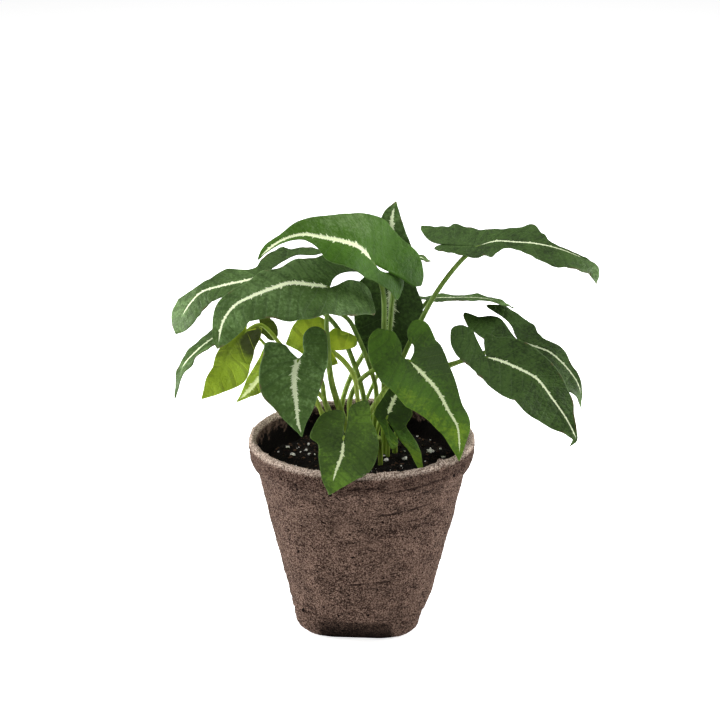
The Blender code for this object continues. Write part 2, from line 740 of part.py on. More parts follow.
                (-4, 2), (-8, 5), (-14, 6), (-21, 5), (-28, 5), (-20, 12), (-13, 14), (-5, 15), (2, 15),
                (8, 9), (14, 7), (22, 8), (30, 4), (38, 3), (48, 1),
            ],
            right=[
                (-6, 1), (-14, 1), (-20, 2), (-27, 7), (-34, 15), (-44, 23), (-37, 25), (-27, 23),
                (-17, 20), (-6, 17), (4, 16), (16, 17), (28, 18), (38, 15), (44, 10), (49, 4),
            ],
            back=((-20, 4, 0), (-38, 0, 0)),
            stalk_radii=(1.5, 1.2),
        ),
        Leaf(
            "leaf_back_upright",
            rib=[(19, 25, 198), (17, 26, 206), (16, 27, 214), (18, 26, 224)],
            foot=(12, 14),
            bends=[(15, 15, 131), (15, 17, 159), (17, 23, 178), (19, 27, 188)],
            faces=[(-0.1, -0.95, 0.3)],
            left=[(-5, 2), (-9, 5), (-3, 8), (5, 8), (12, 8), (18, 6), (23, 4)],
            right=[(-5, 2), (-9, 5), (-3, 8), (4, 8), (10, 7), (16, 6), (22, 4)],
            stalk_radii=(1.5, 1.2),
        ),
        Leaf(
            "leaf_back_small",
            rib=[(22, 41, 192), (29, 42, 192), (38, 43, 189)],
            foot=(-4, 24),
            bends=[(18, 42, 150)],
            faces=[(0, -0.1, 0.99)],
            left=[(-4, 2), (-7, 5), (-3, 7), (4, 7), (9, 5), (13, 3)],
            right=[(-4, 2), (-7, 5), (-3, 7), (4, 7), (9, 5), (13, 3)],
            stalk_radii=(1.2, 0.9),
        ),
        Leaf(
            "leaf_hanging_middle",
            rib=[(16, 29, 178), (16, 26, 167), (15, 23, 154), (12, 19, 133)],
            foot=(-13, 13),
            bends=[(-10, 17, 119), (-5, 24, 131), (0, 28, 139), (8, 32, 152), (14, 33, 168)],
            faces=[(0, -0.8, 0.6)],
            left=[(-4, 3), (-6, 8), (-4, 12), (2, 14), (10, 17), (16, 16), (24, 13), (34, 10), (41, 6)],
            right=[
                (-4, 4), (-7, 9), (-6, 14), (-2, 18), (4, 20), (12, 20), (22, 19), (32, 15), (39, 10),
                (43, 6),
            ],
            stalk_radii=(1.6, 1.2),
        ),
    ]


def main():
    for old in list(bpy.data.objects):
        bpy.data.objects.remove(old)
    plant = bpy.data.collections.new("potted_arrowhead_vine")
    cutters = bpy.data.collections.new("cutters")
    bpy.context.scene.collection.children.link(plant)
    bpy.context.scene.collection.children.link(cutters)
    leaves = plant_leaves()
    build_pot(plant, cutters)
    build_soil(plant, cutters, leaves)
    for leaf in leaves:
        build_leaf(leaf, plant)


main()
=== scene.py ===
import math
import random

import bmesh
import bpy
import numpy as np
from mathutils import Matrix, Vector, noise


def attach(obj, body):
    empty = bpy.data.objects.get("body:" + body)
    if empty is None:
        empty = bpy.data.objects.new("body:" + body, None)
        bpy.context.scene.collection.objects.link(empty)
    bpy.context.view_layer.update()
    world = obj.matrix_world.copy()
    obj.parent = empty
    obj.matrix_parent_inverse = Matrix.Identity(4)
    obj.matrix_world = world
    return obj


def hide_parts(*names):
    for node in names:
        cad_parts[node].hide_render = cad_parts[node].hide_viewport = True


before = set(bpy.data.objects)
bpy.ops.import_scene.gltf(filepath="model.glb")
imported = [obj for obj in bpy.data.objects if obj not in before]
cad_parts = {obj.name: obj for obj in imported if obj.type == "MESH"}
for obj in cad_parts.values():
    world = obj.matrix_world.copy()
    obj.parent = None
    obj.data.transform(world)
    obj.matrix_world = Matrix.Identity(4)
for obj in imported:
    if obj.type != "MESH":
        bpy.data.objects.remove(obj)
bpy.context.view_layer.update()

# The pot is pressed from wet wood pulp over a mould and dried. It is round down to a rounded square foot with
# hollowed sides. The pulp dries rough, with creases where the wet sheet slid down the mould.
# All sizes are in millimetres, and are turned into metres where a mesh is made.
MM = 0.001
POT_HEIGHT = 105.0
RIM_RADIUS = 60.3
SHOULDER_RADIUS = 55.4
BODY_FOOT_RADIUS = 39.0
POT_WALL = 3.2
COLLAR_BOTTOM = 84.0
FOOT_TOP = 16.0
FOOT_HALF_SIDE = 33.4
FOOT_TURN = math.radians(-4)
FOOT_SHIFT = -0.7
FOOT_SHIFT_HEIGHT = 60.0
FLAT_BOTTOM = 0.5
SQUARENESS = 3.4
POT_COLUMNS = 350
SKIN_ROWS = 268
HOLLOW_HALF_WIDTH = 19.5
HOLLOW_HEIGHT = 12.5
HOLLOW_REACH = (29.2, 34.0)
PULP_ROUGHNESS = 0.3
TEAR_ANGLE = math.radians(-46)
TEAR_HEIGHT = 2.4
TEAR_HALF_WIDTH = 2.6
SPLINE_STEPS = 24

# height, radius where it is round, half side where it is square, and how square it is
POT_LEVELS = [
    (0, 33, FOOT_HALF_SIDE - 3.8, 1),
    (1.2, 35, FOOT_HALF_SIDE - 2.0, 1),
    (3.5, 36.5, FOOT_HALF_SIDE + 0.2, 1),
    (6.5, 37.5, FOOT_HALF_SIDE + 1.3, 1),
    (9.5, 38.2, FOOT_HALF_SIDE + 2.0, 0.95),
    (12.5, 38.6, FOOT_HALF_SIDE + 2.6, 0.7),
    (FOOT_TOP, BODY_FOOT_RADIUS, 36, 0.15),
    (20, 39.6, 38, 0),
    (38, 43.9, 42, 0),
    (62, 49.6, 48, 0),
    (COLLAR_BOTTOM - 2, SHOULDER_RADIUS - 1.3, 53, 0),
    (COLLAR_BOTTOM + 3.5, SHOULDER_RADIUS + 0.3, 54, 0),
    (COLLAR_BOTTOM + 8, RIM_RADIUS - 1.8, 56, 0),
    (COLLAR_BOTTOM + 11, RIM_RADIUS - 0.7, 56, 0),
    (POT_HEIGHT - 6.5, RIM_RADIUS - 0.4, 57, 0),
    (POT_HEIGHT - 2.6, RIM_RADIUS, 58, 0),
    (POT_HEIGHT - 0.6, RIM_RADIUS - 0.9, 58, 0),
    (POT_HEIGHT, RIM_RADIUS - 2.3, 58, 0),
    (POT_HEIGHT - 0.8, RIM_RADIUS - 3.7, 57, 0),
    (POT_HEIGHT - 4, RIM_RADIUS - 4.6, 56, 0),
    (COLLAR_BOTTOM + 5, RIM_RADIUS - 5.4, 55, 0),
    (COLLAR_BOTTOM + 2, SHOULDER_RADIUS - POT_WALL, 54, 0),
    (COLLAR_BOTTOM - 5, SHOULDER_RADIUS - POT_WALL - 1.2, 54, 0),
]
# the inner wall and the floor below the soil, in the same form
HIDDEN_LEVELS = [(50, 44, 42, 0), (20, 36.8, 36, 0), (12, 32, FOOT_HALF_SIDE - 4, 0.8), (4.5, 30, 25.4, 1)]

CREASE_WIDTH = 0.9
# height, its change over the crease, first and last angle in degrees, and depth
CREASES = [
    (86.0, 0.5, -200, 200, 0.3),
    (97.0, -1.5, -98, -72, 0.9),
    (95.0, 2.5, -82, -36, 1.0),
    (92.5, -1.0, -92, -62, 0.6),
    (90.5, 1.5, -74, -34, 0.7),
    (87.0, 1.5, -128, -96, 0.5),
    (80.5, 3.0, -92, -38, 0.8),
    (77.0, -1.5, -112, -70, 0.6),
    (74.0, 3.0, -80, -30, 0.6),
    (70.0, 1.5, -70, -40, 0.5),
    (64.0, 1.0, -112, -84, 0.45),
    (60.0, 2.5, -100, -70, 0.5),
    (54.0, -1.0, -84, -50, 0.35),
    (40.0, 1.0, -116, -84, 0.5),
    (37.5, 0.5, -108, -58, 0.75),
    (35.0, -1.0, -102, -62, 0.6),
    (31.0, 1.0, -92, -60, 0.5),
    (47.0, 1.0, -80, -45, 0.4),
    (79.0, 2.0, 20, 80, 0.6),
    (45.0, -1.0, 60, 130, 0.5),
    (76.0, 2.0, 150, 200, 0.6),
]


def mix(first, second, share):
    return first * (1 - share) + second * share


def smooth_step(low, high, value):
    share = min(max((value - low) / (high - low), 0.0), 1.0)
    return share * share * (3 - 2 * share)


def smooth_line(points, steps):
    """Points at even spacing along a smooth curve through the given ones, and the curve's length."""
    given = np.array(points, float)
    given = np.vstack([2 * given[0] - given[1], given, 2 * given[-1] - given[-2]])
    leaps = np.linalg.norm(np.diff(given, axis=0), axis=1)
    knots = np.concatenate([[0], np.cumsum(np.sqrt(leaps))])
    fine = []
    for i in range(1, len(given) - 2):
        p0, p1, p2, p3 = given[i - 1 : i + 3]
        t0, t1, t2, t3 = knots[i - 1 : i + 3]
        for t in np.linspace(t1, t2, SPLINE_STEPS, endpoint=False):
            before = mix(p0, p1, (t - t0) / (t1 - t0))
            here = mix(p1, p2, (t - t1) / (t2 - t1))
            after = mix(p2, p3, (t - t2) / (t3 - t2))
            early = mix(before, here, (t - t0) / (t2 - t0))
            late = mix(here, after, (t - t1) / (t3 - t1))
            fine.append(mix(early, late, (t - t1) / (t2 - t1)))
    fine.append(given[-2])
    fine = np.array(fine)
    run = np.concatenate([[0], np.cumsum(np.linalg.norm(np.diff(fine, axis=0), axis=1))])
    wanted = np.linspace(0, run[-1], steps + 1)
    return np.stack([np.interp(wanted, run, axis) for axis in fine.T], axis=1), run[-1]


def make_piece(name, points, faces, material, marks=None, sharp=60):
    """A mesh object from points in millimetres, smooth except at edges over the sharp angle.

    Marks hold a number for each point.
    """
    mesh = bpy.data.meshes.new(name)
    mesh.from_pydata((np.array(points) * MM).tolist(), [], faces)
    for mark, values in (marks or {}).items():
        column = mesh.attributes.new(mark, "FLOAT", "POINT")
        column.data.foreach_set("value", np.array(values, np.float32))
    mesh.materials.append(material)
    mesh.shade_smooth()
    mesh.set_sharp_from_angle(angle=math.radians(sharp))
    piece = bpy.data.objects.new(name, mesh)
    bpy.context.scene.collection.objects.link(piece)
    return piece


def ring_faces(rows, columns):
    """Faces of a skin over rings of points. The middles of both ends come after the rings' own points."""
    faces = []
    for row in range(rows - 1):
        for column in range(columns):
            after = (column + 1) % columns
            low = row * columns
            high = low + columns
            faces.append((low + column, low + after, high + after, high + column))
    first_middle = rows * columns
    last = (rows - 1) * columns
    for column in range(columns):
        after = (column + 1) % columns
        faces.append((after, column, first_middle))
        faces.append((last + column, last + after, first_middle + 1))
    return faces


def crease_depth(angle, height):
    """How deep the creases are at a place of the pot's side."""
    depth = 0.0
    degrees = math.degrees(angle)
    round_four = (math.cos(angle) * 4, math.sin(angle) * 4)
    round_nine = (math.cos(angle) * 9, math.sin(angle) * 9)
    for level, climb, first, last, deep in CREASES:
        all_round = last - first > 360
        for turn in (-360, 0):
            share = (degrees + turn - first) / (last - first)
            if 0 < share < 1:
                waver = 0.9 * noise.noise((*round_four, level))
                centre = level + climb * (share - 0.5) + waver
                fade = 1 if all_round else math.sin(math.pi * share) ** 0.5
                strength = 0.55 + 0.45 * noise.noise((*round_nine, level + 7))
                depth += deep * fade * strength * math.exp(-(((height - centre) / CREASE_WIDTH) ** 2))
    return depth


def square_reach(half_side, turned):
    """How far a rounded square reaches at this angle from the middle of one of its sides."""
    spread = abs(math.cos(turned)) ** SQUARENESS + abs(math.sin(turned)) ** SQUARENESS
    return half_side / spread ** (1 / SQUARENESS)


def foot_shift(height):
    """How far to the side the pot stands at this height: the foot isn't quite under the middle of the rim."""
    return FOOT_SHIFT * max(0.0, 1 - height / FOOT_SHIFT_HEIGHT)


def rim_waves(place):
    """The long waves of the rim's top, between about -1 and 1."""
    return noise.noise(place * 0.22 + Vector((9, 0, 0)))


def pot_point(level, angle, outside):
    """A point of the pot's skin, how rubbed and creased it is, and how much painted shade it gets in the
    foot's hollows.
    """
    height, radius, half_side, square_share = level
    turned = angle - FOOT_TURN
    reach = mix(radius, square_reach(half_side, turned), square_share)
    hollow_shade = 0.0
    # the foot's hollowed sides get painted shade, strongest at the bottom
    if outside and height < HOLLOW_HEIGHT:
        off = math.remainder(turned, math.pi / 2)
        up_hollow = height / HOLLOW_HEIGHT
        flat = mix(*HOLLOW_REACH, up_hollow) / math.cos(off)
        inside = smooth_step(HOLLOW_HALF_WIDTH + 1.5, HOLLOW_HALF_WIDTH - 1, abs(reach * math.sin(off)))
        hollow_shade = inside * smooth_step(HOLLOW_HEIGHT, HOLLOW_HEIGHT - 3, height) * mix(1, 0.5, up_hollow)
        reach = mix(reach, min(reach, flat), inside)
    place = Vector((math.cos(angle) * reach, math.sin(angle) * reach, height))
    lumps = 0.5 * noise.noise(place * 0.09) + 0.3 * noise.noise(place * 0.3)
    pulp = PULP_ROUGHNESS * (noise.noise(place * 1.1) + 0.6 * noise.noise(place * 2.3))
    crease = crease_depth(angle, height) if outside else 0.0
    swell = lumps + pulp - crease
    near_rim = smooth_step(POT_HEIGHT - 5, POT_HEIGHT - 1.2, height)
    fray = near_rim * (0.9 * rim_waves(place) + 0.5 * noise.noise(place * 0.8))
    rise = fray * 0.9
    off_tear = abs(math.remainder(angle - TEAR_ANGLE, math.tau)) * RIM_RADIUS
    rise += TEAR_HEIGHT * near_rim * max(0.0, 1 - off_tear / TEAR_HALF_WIDTH)
    shift = foot_shift(height)
    if height > FLAT_BOTTOM:
        reach += swell if outside else -swell * 0.8
        height += rise
    else:
        rise = 0.0
    point = (math.cos(angle) * reach + shift, math.sin(angle) * reach, height)
    rubbed = smooth_step(POT_HEIGHT - 3.4, POT_HEIGHT - 1.2, height - rise)
    return point, rubbed, hollow_shade, crease


def shape_pot():
    skin, _ = smooth_line(POT_LEVELS, SKIN_ROWS)
    levels = [tuple(level) for level in skin] + HIDDEN_LEVELS
    top = int(np.argmax(skin[:, 0]))
    points = []
    marks = {"rim": [], "hollow_shade": [], "crease": [], "inner": []}
    for row, level in enumerate(levels):
        outside = row <= top
        inner = 0.0 if outside else smooth_step(POT_HEIGHT - 1, POT_HEIGHT - 6, level[0])
        for angle in np.linspace(0, math.tau, POT_COLUMNS, endpoint=False):
            point, rim, hollow_shade, crease = pot_point(level, angle, outside)
            points.append(point)
            for mark, value in zip(marks.values(), (rim, hollow_shade, crease, inner)):
                mark.append(value)
    for height in (levels[0][0], levels[-1][0]):
        points.append((FOOT_SHIFT, 0, height))
        for mark in marks.values():
            mark.append(0.0)
    return points, ring_faces(len(levels), POT_COLUMNS), marks


class Finish:
    """A node material, built up from the plain shader it starts with."""

    def __init__(self, name, roughness, specular):
        self.material = bpy.data.materials.new(name)
        self.material.use_nodes = True
        self.tree = self.material.node_tree
        self.shader = self.tree.nodes["Principled BSDF"]
        self.shader.inputs["Roughness"].default_value = roughness
        self.shader.inputs["Specular IOR Level"].default_value = specular
        self.place = self.node("ShaderNodeTexCoord").outputs["Object"]

    def node(self, kind, **settings):
        made = self.tree.nodes.new(kind)
        for setting, value in settings.items():
            setattr(made, setting, value)
        return made

    def put(self, value, socket):
        """Links an output to the socket, or sets a plain number or colour on it."""
        if isinstance(value, bpy.types.NodeSocket):
            self.tree.links.new(value, socket)
        elif isinstance(value, tuple) and len(value) == 3 and socket.type == "RGBA":
            socket.default_value = (*value, 1)
        else:
            socket.default_value = value

    def mark(self, name):
        """The number that each point of the mesh has under this name."""
        return self.node("ShaderNodeAttribute", attribute_name=name).outputs["Fac"]

    def height(self):
        """How many metres above the floor."""
        split = self.node("ShaderNodeSeparateXYZ")
        self.put(self.place, split.inputs[0])
        return split.outputs["Z"]

    def reckon(self, operation, *values):
        made = self.node("ShaderNodeMath", operation=operation)
        for value, socket in zip(values, made.inputs):
            self.put(value, socket)
        return made.outputs[0]

    def times(self, first, second):
        return self.reckon("MULTIPLY", first, second)

    def times_plus(self, first, second, third):
        return self.reckon("MULTIPLY_ADD", first, second, third)

    def off_middle(self, grain):
        """How far a noise is from its middle, either way. Near zero it draws thin wandering lines."""
        return self.reckon("ABSOLUTE", self.reckon("SUBTRACT", grain, 0.5))

    def ease(self, value, low, high, to_low=0.0, to_high=1.0):
        """The value's way from low to high, as a smooth number between the last two."""
        made = self.node("ShaderNodeMapRange", interpolation_type="SMOOTHSTEP")
        limits = {"Value": value, "From Min": low, "From Max": high, "To Min": to_low, "To Max": to_high}
        for name, given in limits.items():
            self.put(given, made.inputs[name])
        return made.outputs["Result"]

    def grain(self, size, detail, stretch=(1, 1, 1), shift=0.0):
        """Noise whose spots are about this many millimetres across, around one half."""
        scaled = self.node("ShaderNodeMapping")
        self.put(self.place, scaled.inputs["Vector"])
        scaled.inputs["Scale"].default_value = stretch
        scaled.inputs["Location"].default_value = (shift, shift, shift)
        made = self.node("ShaderNodeTexNoise")
        self.put(scaled.outputs["Vector"], made.inputs["Vector"])
        made.inputs["Scale"].default_value = 1 / (size * MM)
        made.inputs["Detail"].default_value = detail
        return made.outputs["Fac"]

    def grain_along(self, value, size, detail):
        """Noise along one value in millimetres."""
        made = self.node("ShaderNodeTexNoise", noise_dimensions="1D")
        self.put(value, made.inputs["W"])
        made.inputs["Scale"].default_value = 1 / size
        made.inputs["Detail"].default_value = detail
        return made.outputs["Fac"]

    def net(self, size):
        """A net of fine lines, one on them and zero in its meshes, which are this many millimetres wide."""
        bent = self.node("ShaderNodeTexNoise")
        self.put(self.place, bent.inputs["Vector"])
        bent.inputs["Scale"].default_value = 0.6 / (size * MM)
        moved = self.node("ShaderNodeVectorMath", operation="MULTIPLY_ADD")
        self.put(bent.outputs["Color"], moved.inputs[0])
        moved.inputs[1].default_value = (size * MM,) * 3
        self.put(self.place, moved.inputs[2])
        made = self.node("ShaderNodeTexVoronoi", feature="DISTANCE_TO_EDGE")
        self.put(moved.outputs[0], made.inputs["Vector"])
        made.inputs["Scale"].default_value = 1 / (size * MM)
        return self.ease(made.outputs["Distance"], 0.16, 0.02)

    def blend(self, share, first, second):
        made = self.node("ShaderNodeMix", data_type="RGBA")
        self.put(share, made.inputs[0])
        self.put(first, made.inputs[6])
        self.put(second, made.inputs[7])
        return made.outputs[2]

    def colour(self, base, layers):
        """Colours the surface: the base, with each layer's tint laid over it by the layer's share."""
        for share, tint in layers:
            base = self.blend(share, base, tint)
        self.put(base, self.shader.inputs["Base Color"])

    def bump(self, height, depth):
        """Small relief, with its depth in millimetres."""
        made = self.node("ShaderNodeBump")
        made.inputs["Distance"].default_value = depth * MM
        self.put(height, made.inputs["Height"])
        self.put(made.outputs["Normal"], self.shader.inputs["Normal"])


def pulp_finish():
    """Brown felted fibre with dark specks, rubbed pale on the rim and stained inside, with painted shade in
    its wrinkles, folds, creases and foot hollows and under the rim.
    """
    pulp = Finish("moulded_pulp", roughness=0.95, specular=0.04)
    fine = pulp.ease(pulp.grain(0.75, 2), 0.37, 0.65)
    patchy = pulp.ease(pulp.grain(6, 4), 0.35, 0.68)
    broad = pulp.ease(pulp.grain(40, 2), 0.3, 0.7)
    felt = pulp.blend(fine, (0.02, 0.0105, 0.0075), (0.206, 0.136, 0.105))

    wrinkle_line = pulp.off_middle(pulp.grain(3.2, 3, stretch=(1, 1, 2.4), shift=0.11))
    wrinkle_zone = pulp.ease(pulp.grain(7, 2, shift=0.2), 0.42, 0.56)
    wrinkles = pulp.times(pulp.ease(wrinkle_line, 0.034, 0.006), wrinkle_zone)
    fold_line = pulp.off_middle(pulp.grain(9, 3, stretch=(1, 1, 3.6), shift=0.37))
    fold_zone = pulp.ease(pulp.grain(22, 2, stretch=(1, 1, 2), shift=0.6), 0.47, 0.57)
    folds = pulp.times(pulp.ease(fold_line, 0.015, 0.004), fold_zone)
    specks = pulp.ease(pulp.grain(1.3, 1, stretch=(1, 1, 1.7), shift=0.02), 0.665, 0.71)
    dots = pulp.ease(pulp.grain(2.6, 0, stretch=(1, 1, 1.3), shift=0.31), 0.76, 0.79)

    height = pulp.height()
    # painted shadow: a band just under the rim's lip is darkened, as the shade that the lip throws
    painted_rim_shadow = pulp.times(pulp.ease(height, 0.09, 0.097), pulp.ease(height, 0.1025, 0.1))
    stain = pulp.ease(pulp.grain(2.2, 3, shift=0.5), 0.42, 0.62)
    stained = pulp.blend(stain, (0.085, 0.055, 0.042), (0.012, 0.007, 0.005))
    soil_line = pulp.times_plus(pulp.grain(5, 3, shift=0.8), 0.02, height)
    soiled = pulp.times(pulp.mark("inner"), pulp.ease(soil_line, 0.1085, 0.1065))
    fuzz = pulp.blend(fine, (0.16, 0.115, 0.09), (0.56, 0.46, 0.38))
    pulp.colour(
        felt,
        [
            (pulp.times(patchy, 0.24), (0.032, 0.017, 0.013)),
            (pulp.times(broad, 0.22), (0.13, 0.085, 0.064)),
            # painted shade: the wrinkles and folds are darkened, as the shade in them
            (pulp.times(wrinkles, 0.85), (0.01, 0.005, 0.0035)),
            (pulp.times(folds, 0.8), (0.011, 0.0055, 0.004)),
            # painted shadow under the rim's lip
            (pulp.times(painted_rim_shadow, 0.35), (0.022, 0.011, 0.008)),
            (specks, (0.008, 0.004, 0.003)),
            (dots, (0.005, 0.0025, 0.002)),
            # painted shade: each crease is darkened by its depth, as the shade in it
            (pulp.ease(pulp.mark("crease"), 0.1, 0.6, 0, 0.88), (0.009, 0.0045, 0.0035)),
            # painted shade: the foot's hollows are darkened almost to black
            (pulp.times(pulp.mark("hollow_shade"), 0.97), (0.002, 0.001, 0.0006)),
            (pulp.mark("inner"), stained),
            (soiled, (0.003, 0.0022, 0.0016)),
            (pulp.times(pulp.mark("rim"), 0.9), fuzz),
        ],
    )
    relief = pulp.times_plus(pulp.grain(1.6, 3), 1.4, pulp.grain(0.5, 2))
    relief = pulp.times_plus(folds, -1.2, relief)
    pulp.bump(pulp.times_plus(wrinkles, -0.9, relief), 0.6)
    return pulp.material


pot_points, pot_faces, pot_marks = shape_pot()
pot = make_piece("fibre_pot", pot_points, pot_faces, pulp_finish(), pot_marks)
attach(pot, "root")
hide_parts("pot")

# The rim is torn and rubbed, so short fibres of pulp stand up all along it, with a tuft of them on the tear.
# Each is a thin bent hair, which grows out of the rim's top.
FIBRE_COUNT = 420
TUFT_SHARE = 0.05
TUFT_HALF_ANGLE = 0.05
FIBRE_BELT = (RIM_RADIUS - 3.6, RIM_RADIUS - 0.2)
FIBRE_ROOT = 1.2
FIBRE_LENGTH = (0.8, 2.4)
FIBRE_RADIUS = 0.07


def tube(line, radii, sides, groove=None):
    """Rings of points round a line, carried along it without twist, and the two end middles."""
    line = np.array(line, float)
    ahead = np.gradient(line, axis=0)
    ahead /= np.linalg.norm(ahead, axis=1)[:, None]
    across = np.cross(ahead[0], (0.3, 1, 0.1) if abs(ahead[0][2]) > 0.7 else (0, 0, 1))
    points = []
    for centre, forward, radius in zip(line, ahead, radii):
        across = across - across.dot(forward) * forward
        across /= np.linalg.norm(across)
        up = np.cross(forward, across)
        for angle in np.linspace(0, math.tau, sides, endpoint=False):
            reach = radius * (groove(angle) if groove else 1)
            points.append(centre + reach * (math.cos(angle) * across + math.sin(angle) * up))
    points.append(line[0])
    points.append(line[-1])
    return points, ring_faces(len(line), sides)


def join_tubes(tubes):
    points = []
    faces = []
    for more_points, more_faces in tubes:
        faces += [tuple(number + len(points) for number in face) for face in more_faces]
        points += list(more_points)
    return points, faces


def rim_fibres():
    draw = random.Random(5)
    tubes = []
    for _ in range(FIBRE_COUNT):
        angle = draw.uniform(0, math.tau)
        if draw.random() < TUFT_SHARE:
            angle = TEAR_ANGLE + draw.uniform(-TUFT_HALF_ANGLE, TUFT_HALF_ANGLE)
        radius = draw.uniform(*FIBRE_BELT)
        side = Vector((math.cos(angle), math.sin(angle), 0))
        along = Vector((-side.y, side.x, 0))
        start = side * radius + Vector((0, 0, POT_HEIGHT - FIBRE_ROOT))
        start.z += 0.8 * rim_waves(start)
        lean = along * draw.uniform(-1, 1) + side * draw.uniform(-0.9, 0.9)
        lean.z = draw.uniform(0.1, 1)
        lean.normalize()
        bend = along * draw.uniform(-0.5, 0.5)
        length = draw.uniform(*FIBRE_LENGTH)
        line = [start + lean * length * share + bend * length * share**2 for share in (0, 0.35, 0.7, 1)]
        tubes.append(tube(line, [FIBRE_RADIUS * share for share in (1, 1, 0.8, 0.4)], 3))
    return join_tubes(tubes)


def fibre_finish():
    fibre = Finish("loose_fibre", roughness=0.9, specular=0.2)
    bleached = fibre.ease(fibre.grain(2, 1), 0.35, 0.65)
    fibre.colour((0.24, 0.18, 0.14), [(bleached, (0.55, 0.46, 0.38))])
    return fibre.material


fibre_points, fibre_faces = rim_fibres()
fibres = make_piece("rim_fibres", fibre_points, fibre_faces, fibre_finish(), sharp=180)
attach(fibres, "root")

# The soil is dark peat, pressed in by hand, with its top a little below the rim. Its surface is all crumbs,
# and it fills the pot down to the floor.
SOIL_EDGE = 89.0
SOIL_MIDDLE = 92.0
SOIL_TOP_RADIUS = 51.2
SOIL_COLUMNS = 220
SOIL_RINGS = 84
CRUMB_SIZE = 1.9
CRUMB_SEED = 5
# height, reach and how square it is, of the soil's hidden side from the floor up
SOIL_SIDE = [
    (5.2, 24.8, 1),
    (12, 28.9, 0.8),
    (20, 36.1, 0),
    (50, 43.3, 0),
    (COLLAR_BOTTOM, SOIL_TOP_RADIUS, 0),
]


def soil_height(x, y):
    """The top of the soil without its crumbs: a shallow heap with a few soft lumps."""
    spread = math.hypot(x, y) / (SHOULDER_RADIUS - POT_WALL)
    lumps = math.sin(x * 0.23 + 1) * math.cos(y * 0.19) + 0.6 * math.sin(x * 0.11 - y * 0.31)
    return SOIL_EDGE + (SOIL_MIDDLE - SOIL_EDGE) * (1 - spread * spread) + 0.9 * lumps


def crumbs(x, y):
    """The height that the crumbs add."""
    bent = Vector((x, y, 0)) + Vector(noise.noise_vector((x * 0.4, y * 0.4, 2))) * 0.8
    large = noise.voronoi(bent / (CRUMB_SIZE * 1.8))[0][0]
    small = noise.voronoi(bent / (CRUMB_SIZE * 0.75) + Vector((5, 5, 0)))[0][0]
    return 1.1 * (0.5 - large) + 0.6 * (0.5 - small) + 0.5 * noise.noise((x * 0.9, y * 0.9, 4))


def shape_soil():
    points = []
    around = np.linspace(0, math.tau, SOIL_COLUMNS, endpoint=False)
    for height, reach, square_share in SOIL_SIDE:
        for angle in around:
            here = mix(reach, square_reach(reach, angle - FOOT_TURN), square_share)
            points.append((here * math.cos(angle) + foot_shift(height), here * math.sin(angle), height))
    for radius in np.linspace(SOIL_TOP_RADIUS - 0.1, 0.8, SOIL_RINGS):
        for angle in around:
            x = radius * math.cos(angle)
            y = radius * math.sin(angle)
            points.append((x, y, soil_height(x, y) + crumbs(x, y)))
    points.append((FOOT_SHIFT, 0, SOIL_SIDE[0][0]))
    points.append((0, 0, soil_height(0, 0) + crumbs(0, 0)))
    return points, ring_faces(len(SOIL_SIDE) + SOIL_RINGS, SOIL_COLUMNS)


def peat_finish():
    peat = Finish("peat", roughness=1.0, specular=0.08)
    brown = peat.ease(peat.grain(1.3, 3), 0.58, 0.76)
    flecks = peat.ease(peat.grain(0.8, 1, shift=0.4), 0.73, 0.78)
    peat.colour((0.0032, 0.0026, 0.002), [(brown, (0.035, 0.018, 0.01)), (flecks, (0.2, 0.15, 0.11))])
    peat.bump(peat.grain(0.6, 3), 0.7)
    return peat.material


# without a fixed seed the noise that bends the crumbs would differ from run to run
noise.seed_set(CRUMB_SEED)
soil_points, soil_faces = shape_soil()
soil = make_piece("peat_soil", soil_points, soil_faces, peat_finish())
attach(soil, "root")
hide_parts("soil")

# Loose crumbs of peat and bark lie on the soil, most of them round the edge, where they were brushed off the
# stalks. They are broken lumps of all sizes, with some flat chips.
CRUMB_COUNT = 620
SMALL_CRUMB = (0.4, 1.0)
LARGE_CRUMB = (1.0, 1.6)
SMALL_SHARE = 0.8


def lump(centre, size, draw, subdivisions=1, rough=0.35):
    """A broken lump: a small ball, pushed in and out and squashed."""
    work = bmesh.new()
    bmesh.ops.create_icosphere(work, subdivisions=subdivisions, radius=1)
    spin = draw.uniform(0, 99)
    squash = Vector((draw.uniform(0.7, 1.2), draw.uniform(0.7, 1.2), draw.uniform(0.5, 0.9)))
    turn = draw.uniform(0, math.tau)
    points = []
    for vertex in work.verts:
        dent = noise.noise(vertex.co * 1.3 + Vector((spin, 0, 0)))
        chip = noise.noise(vertex.co * 3.1 + Vector((0, spin, 0)))
        place = vertex.co * (1 + rough * dent + rough * 0.6 * chip)
        place = Vector((place.x * squash.x, place.y * squash.y, place.z * squash.z)) * size
        x = place.x * math.cos(turn) - place.y * math.sin(turn)
        y = place.x * math.sin(turn) + place.y * math.cos(turn)
        points.append((x + centre[0], y + centre[1], place.z + centre[2]))
    faces = [tuple(vertex.index for vertex in face.verts) for face in work.faces]
    work.free()
    return points, faces


def on_soil(x, y, sunk):
    """A place on the soil, this far below its top."""
    return (x, y, soil_height(x, y) + max(0.0, crumbs(x, y)) * 0.5 - sunk)


def loose_crumbs():
    draw = random.Random(11)
    lumps = []
    for _ in range(CRUMB_COUNT):
        radius = (SOIL_TOP_RADIUS - 0.9) * draw.random() ** 0.35
        angle = draw.uniform(0, math.tau)
        size = draw.uniform(*(SMALL_CRUMB if draw.random() < SMALL_SHARE else LARGE_CRUMB))
        radius = min(radius, SOIL_TOP_RADIUS - size)
        x = radius * math.cos(angle)
        y = radius * math.sin(angle)
        lumps.append(lump(on_soil(x, y, size * 0.2), size, draw))
    return join_tubes(lumps)


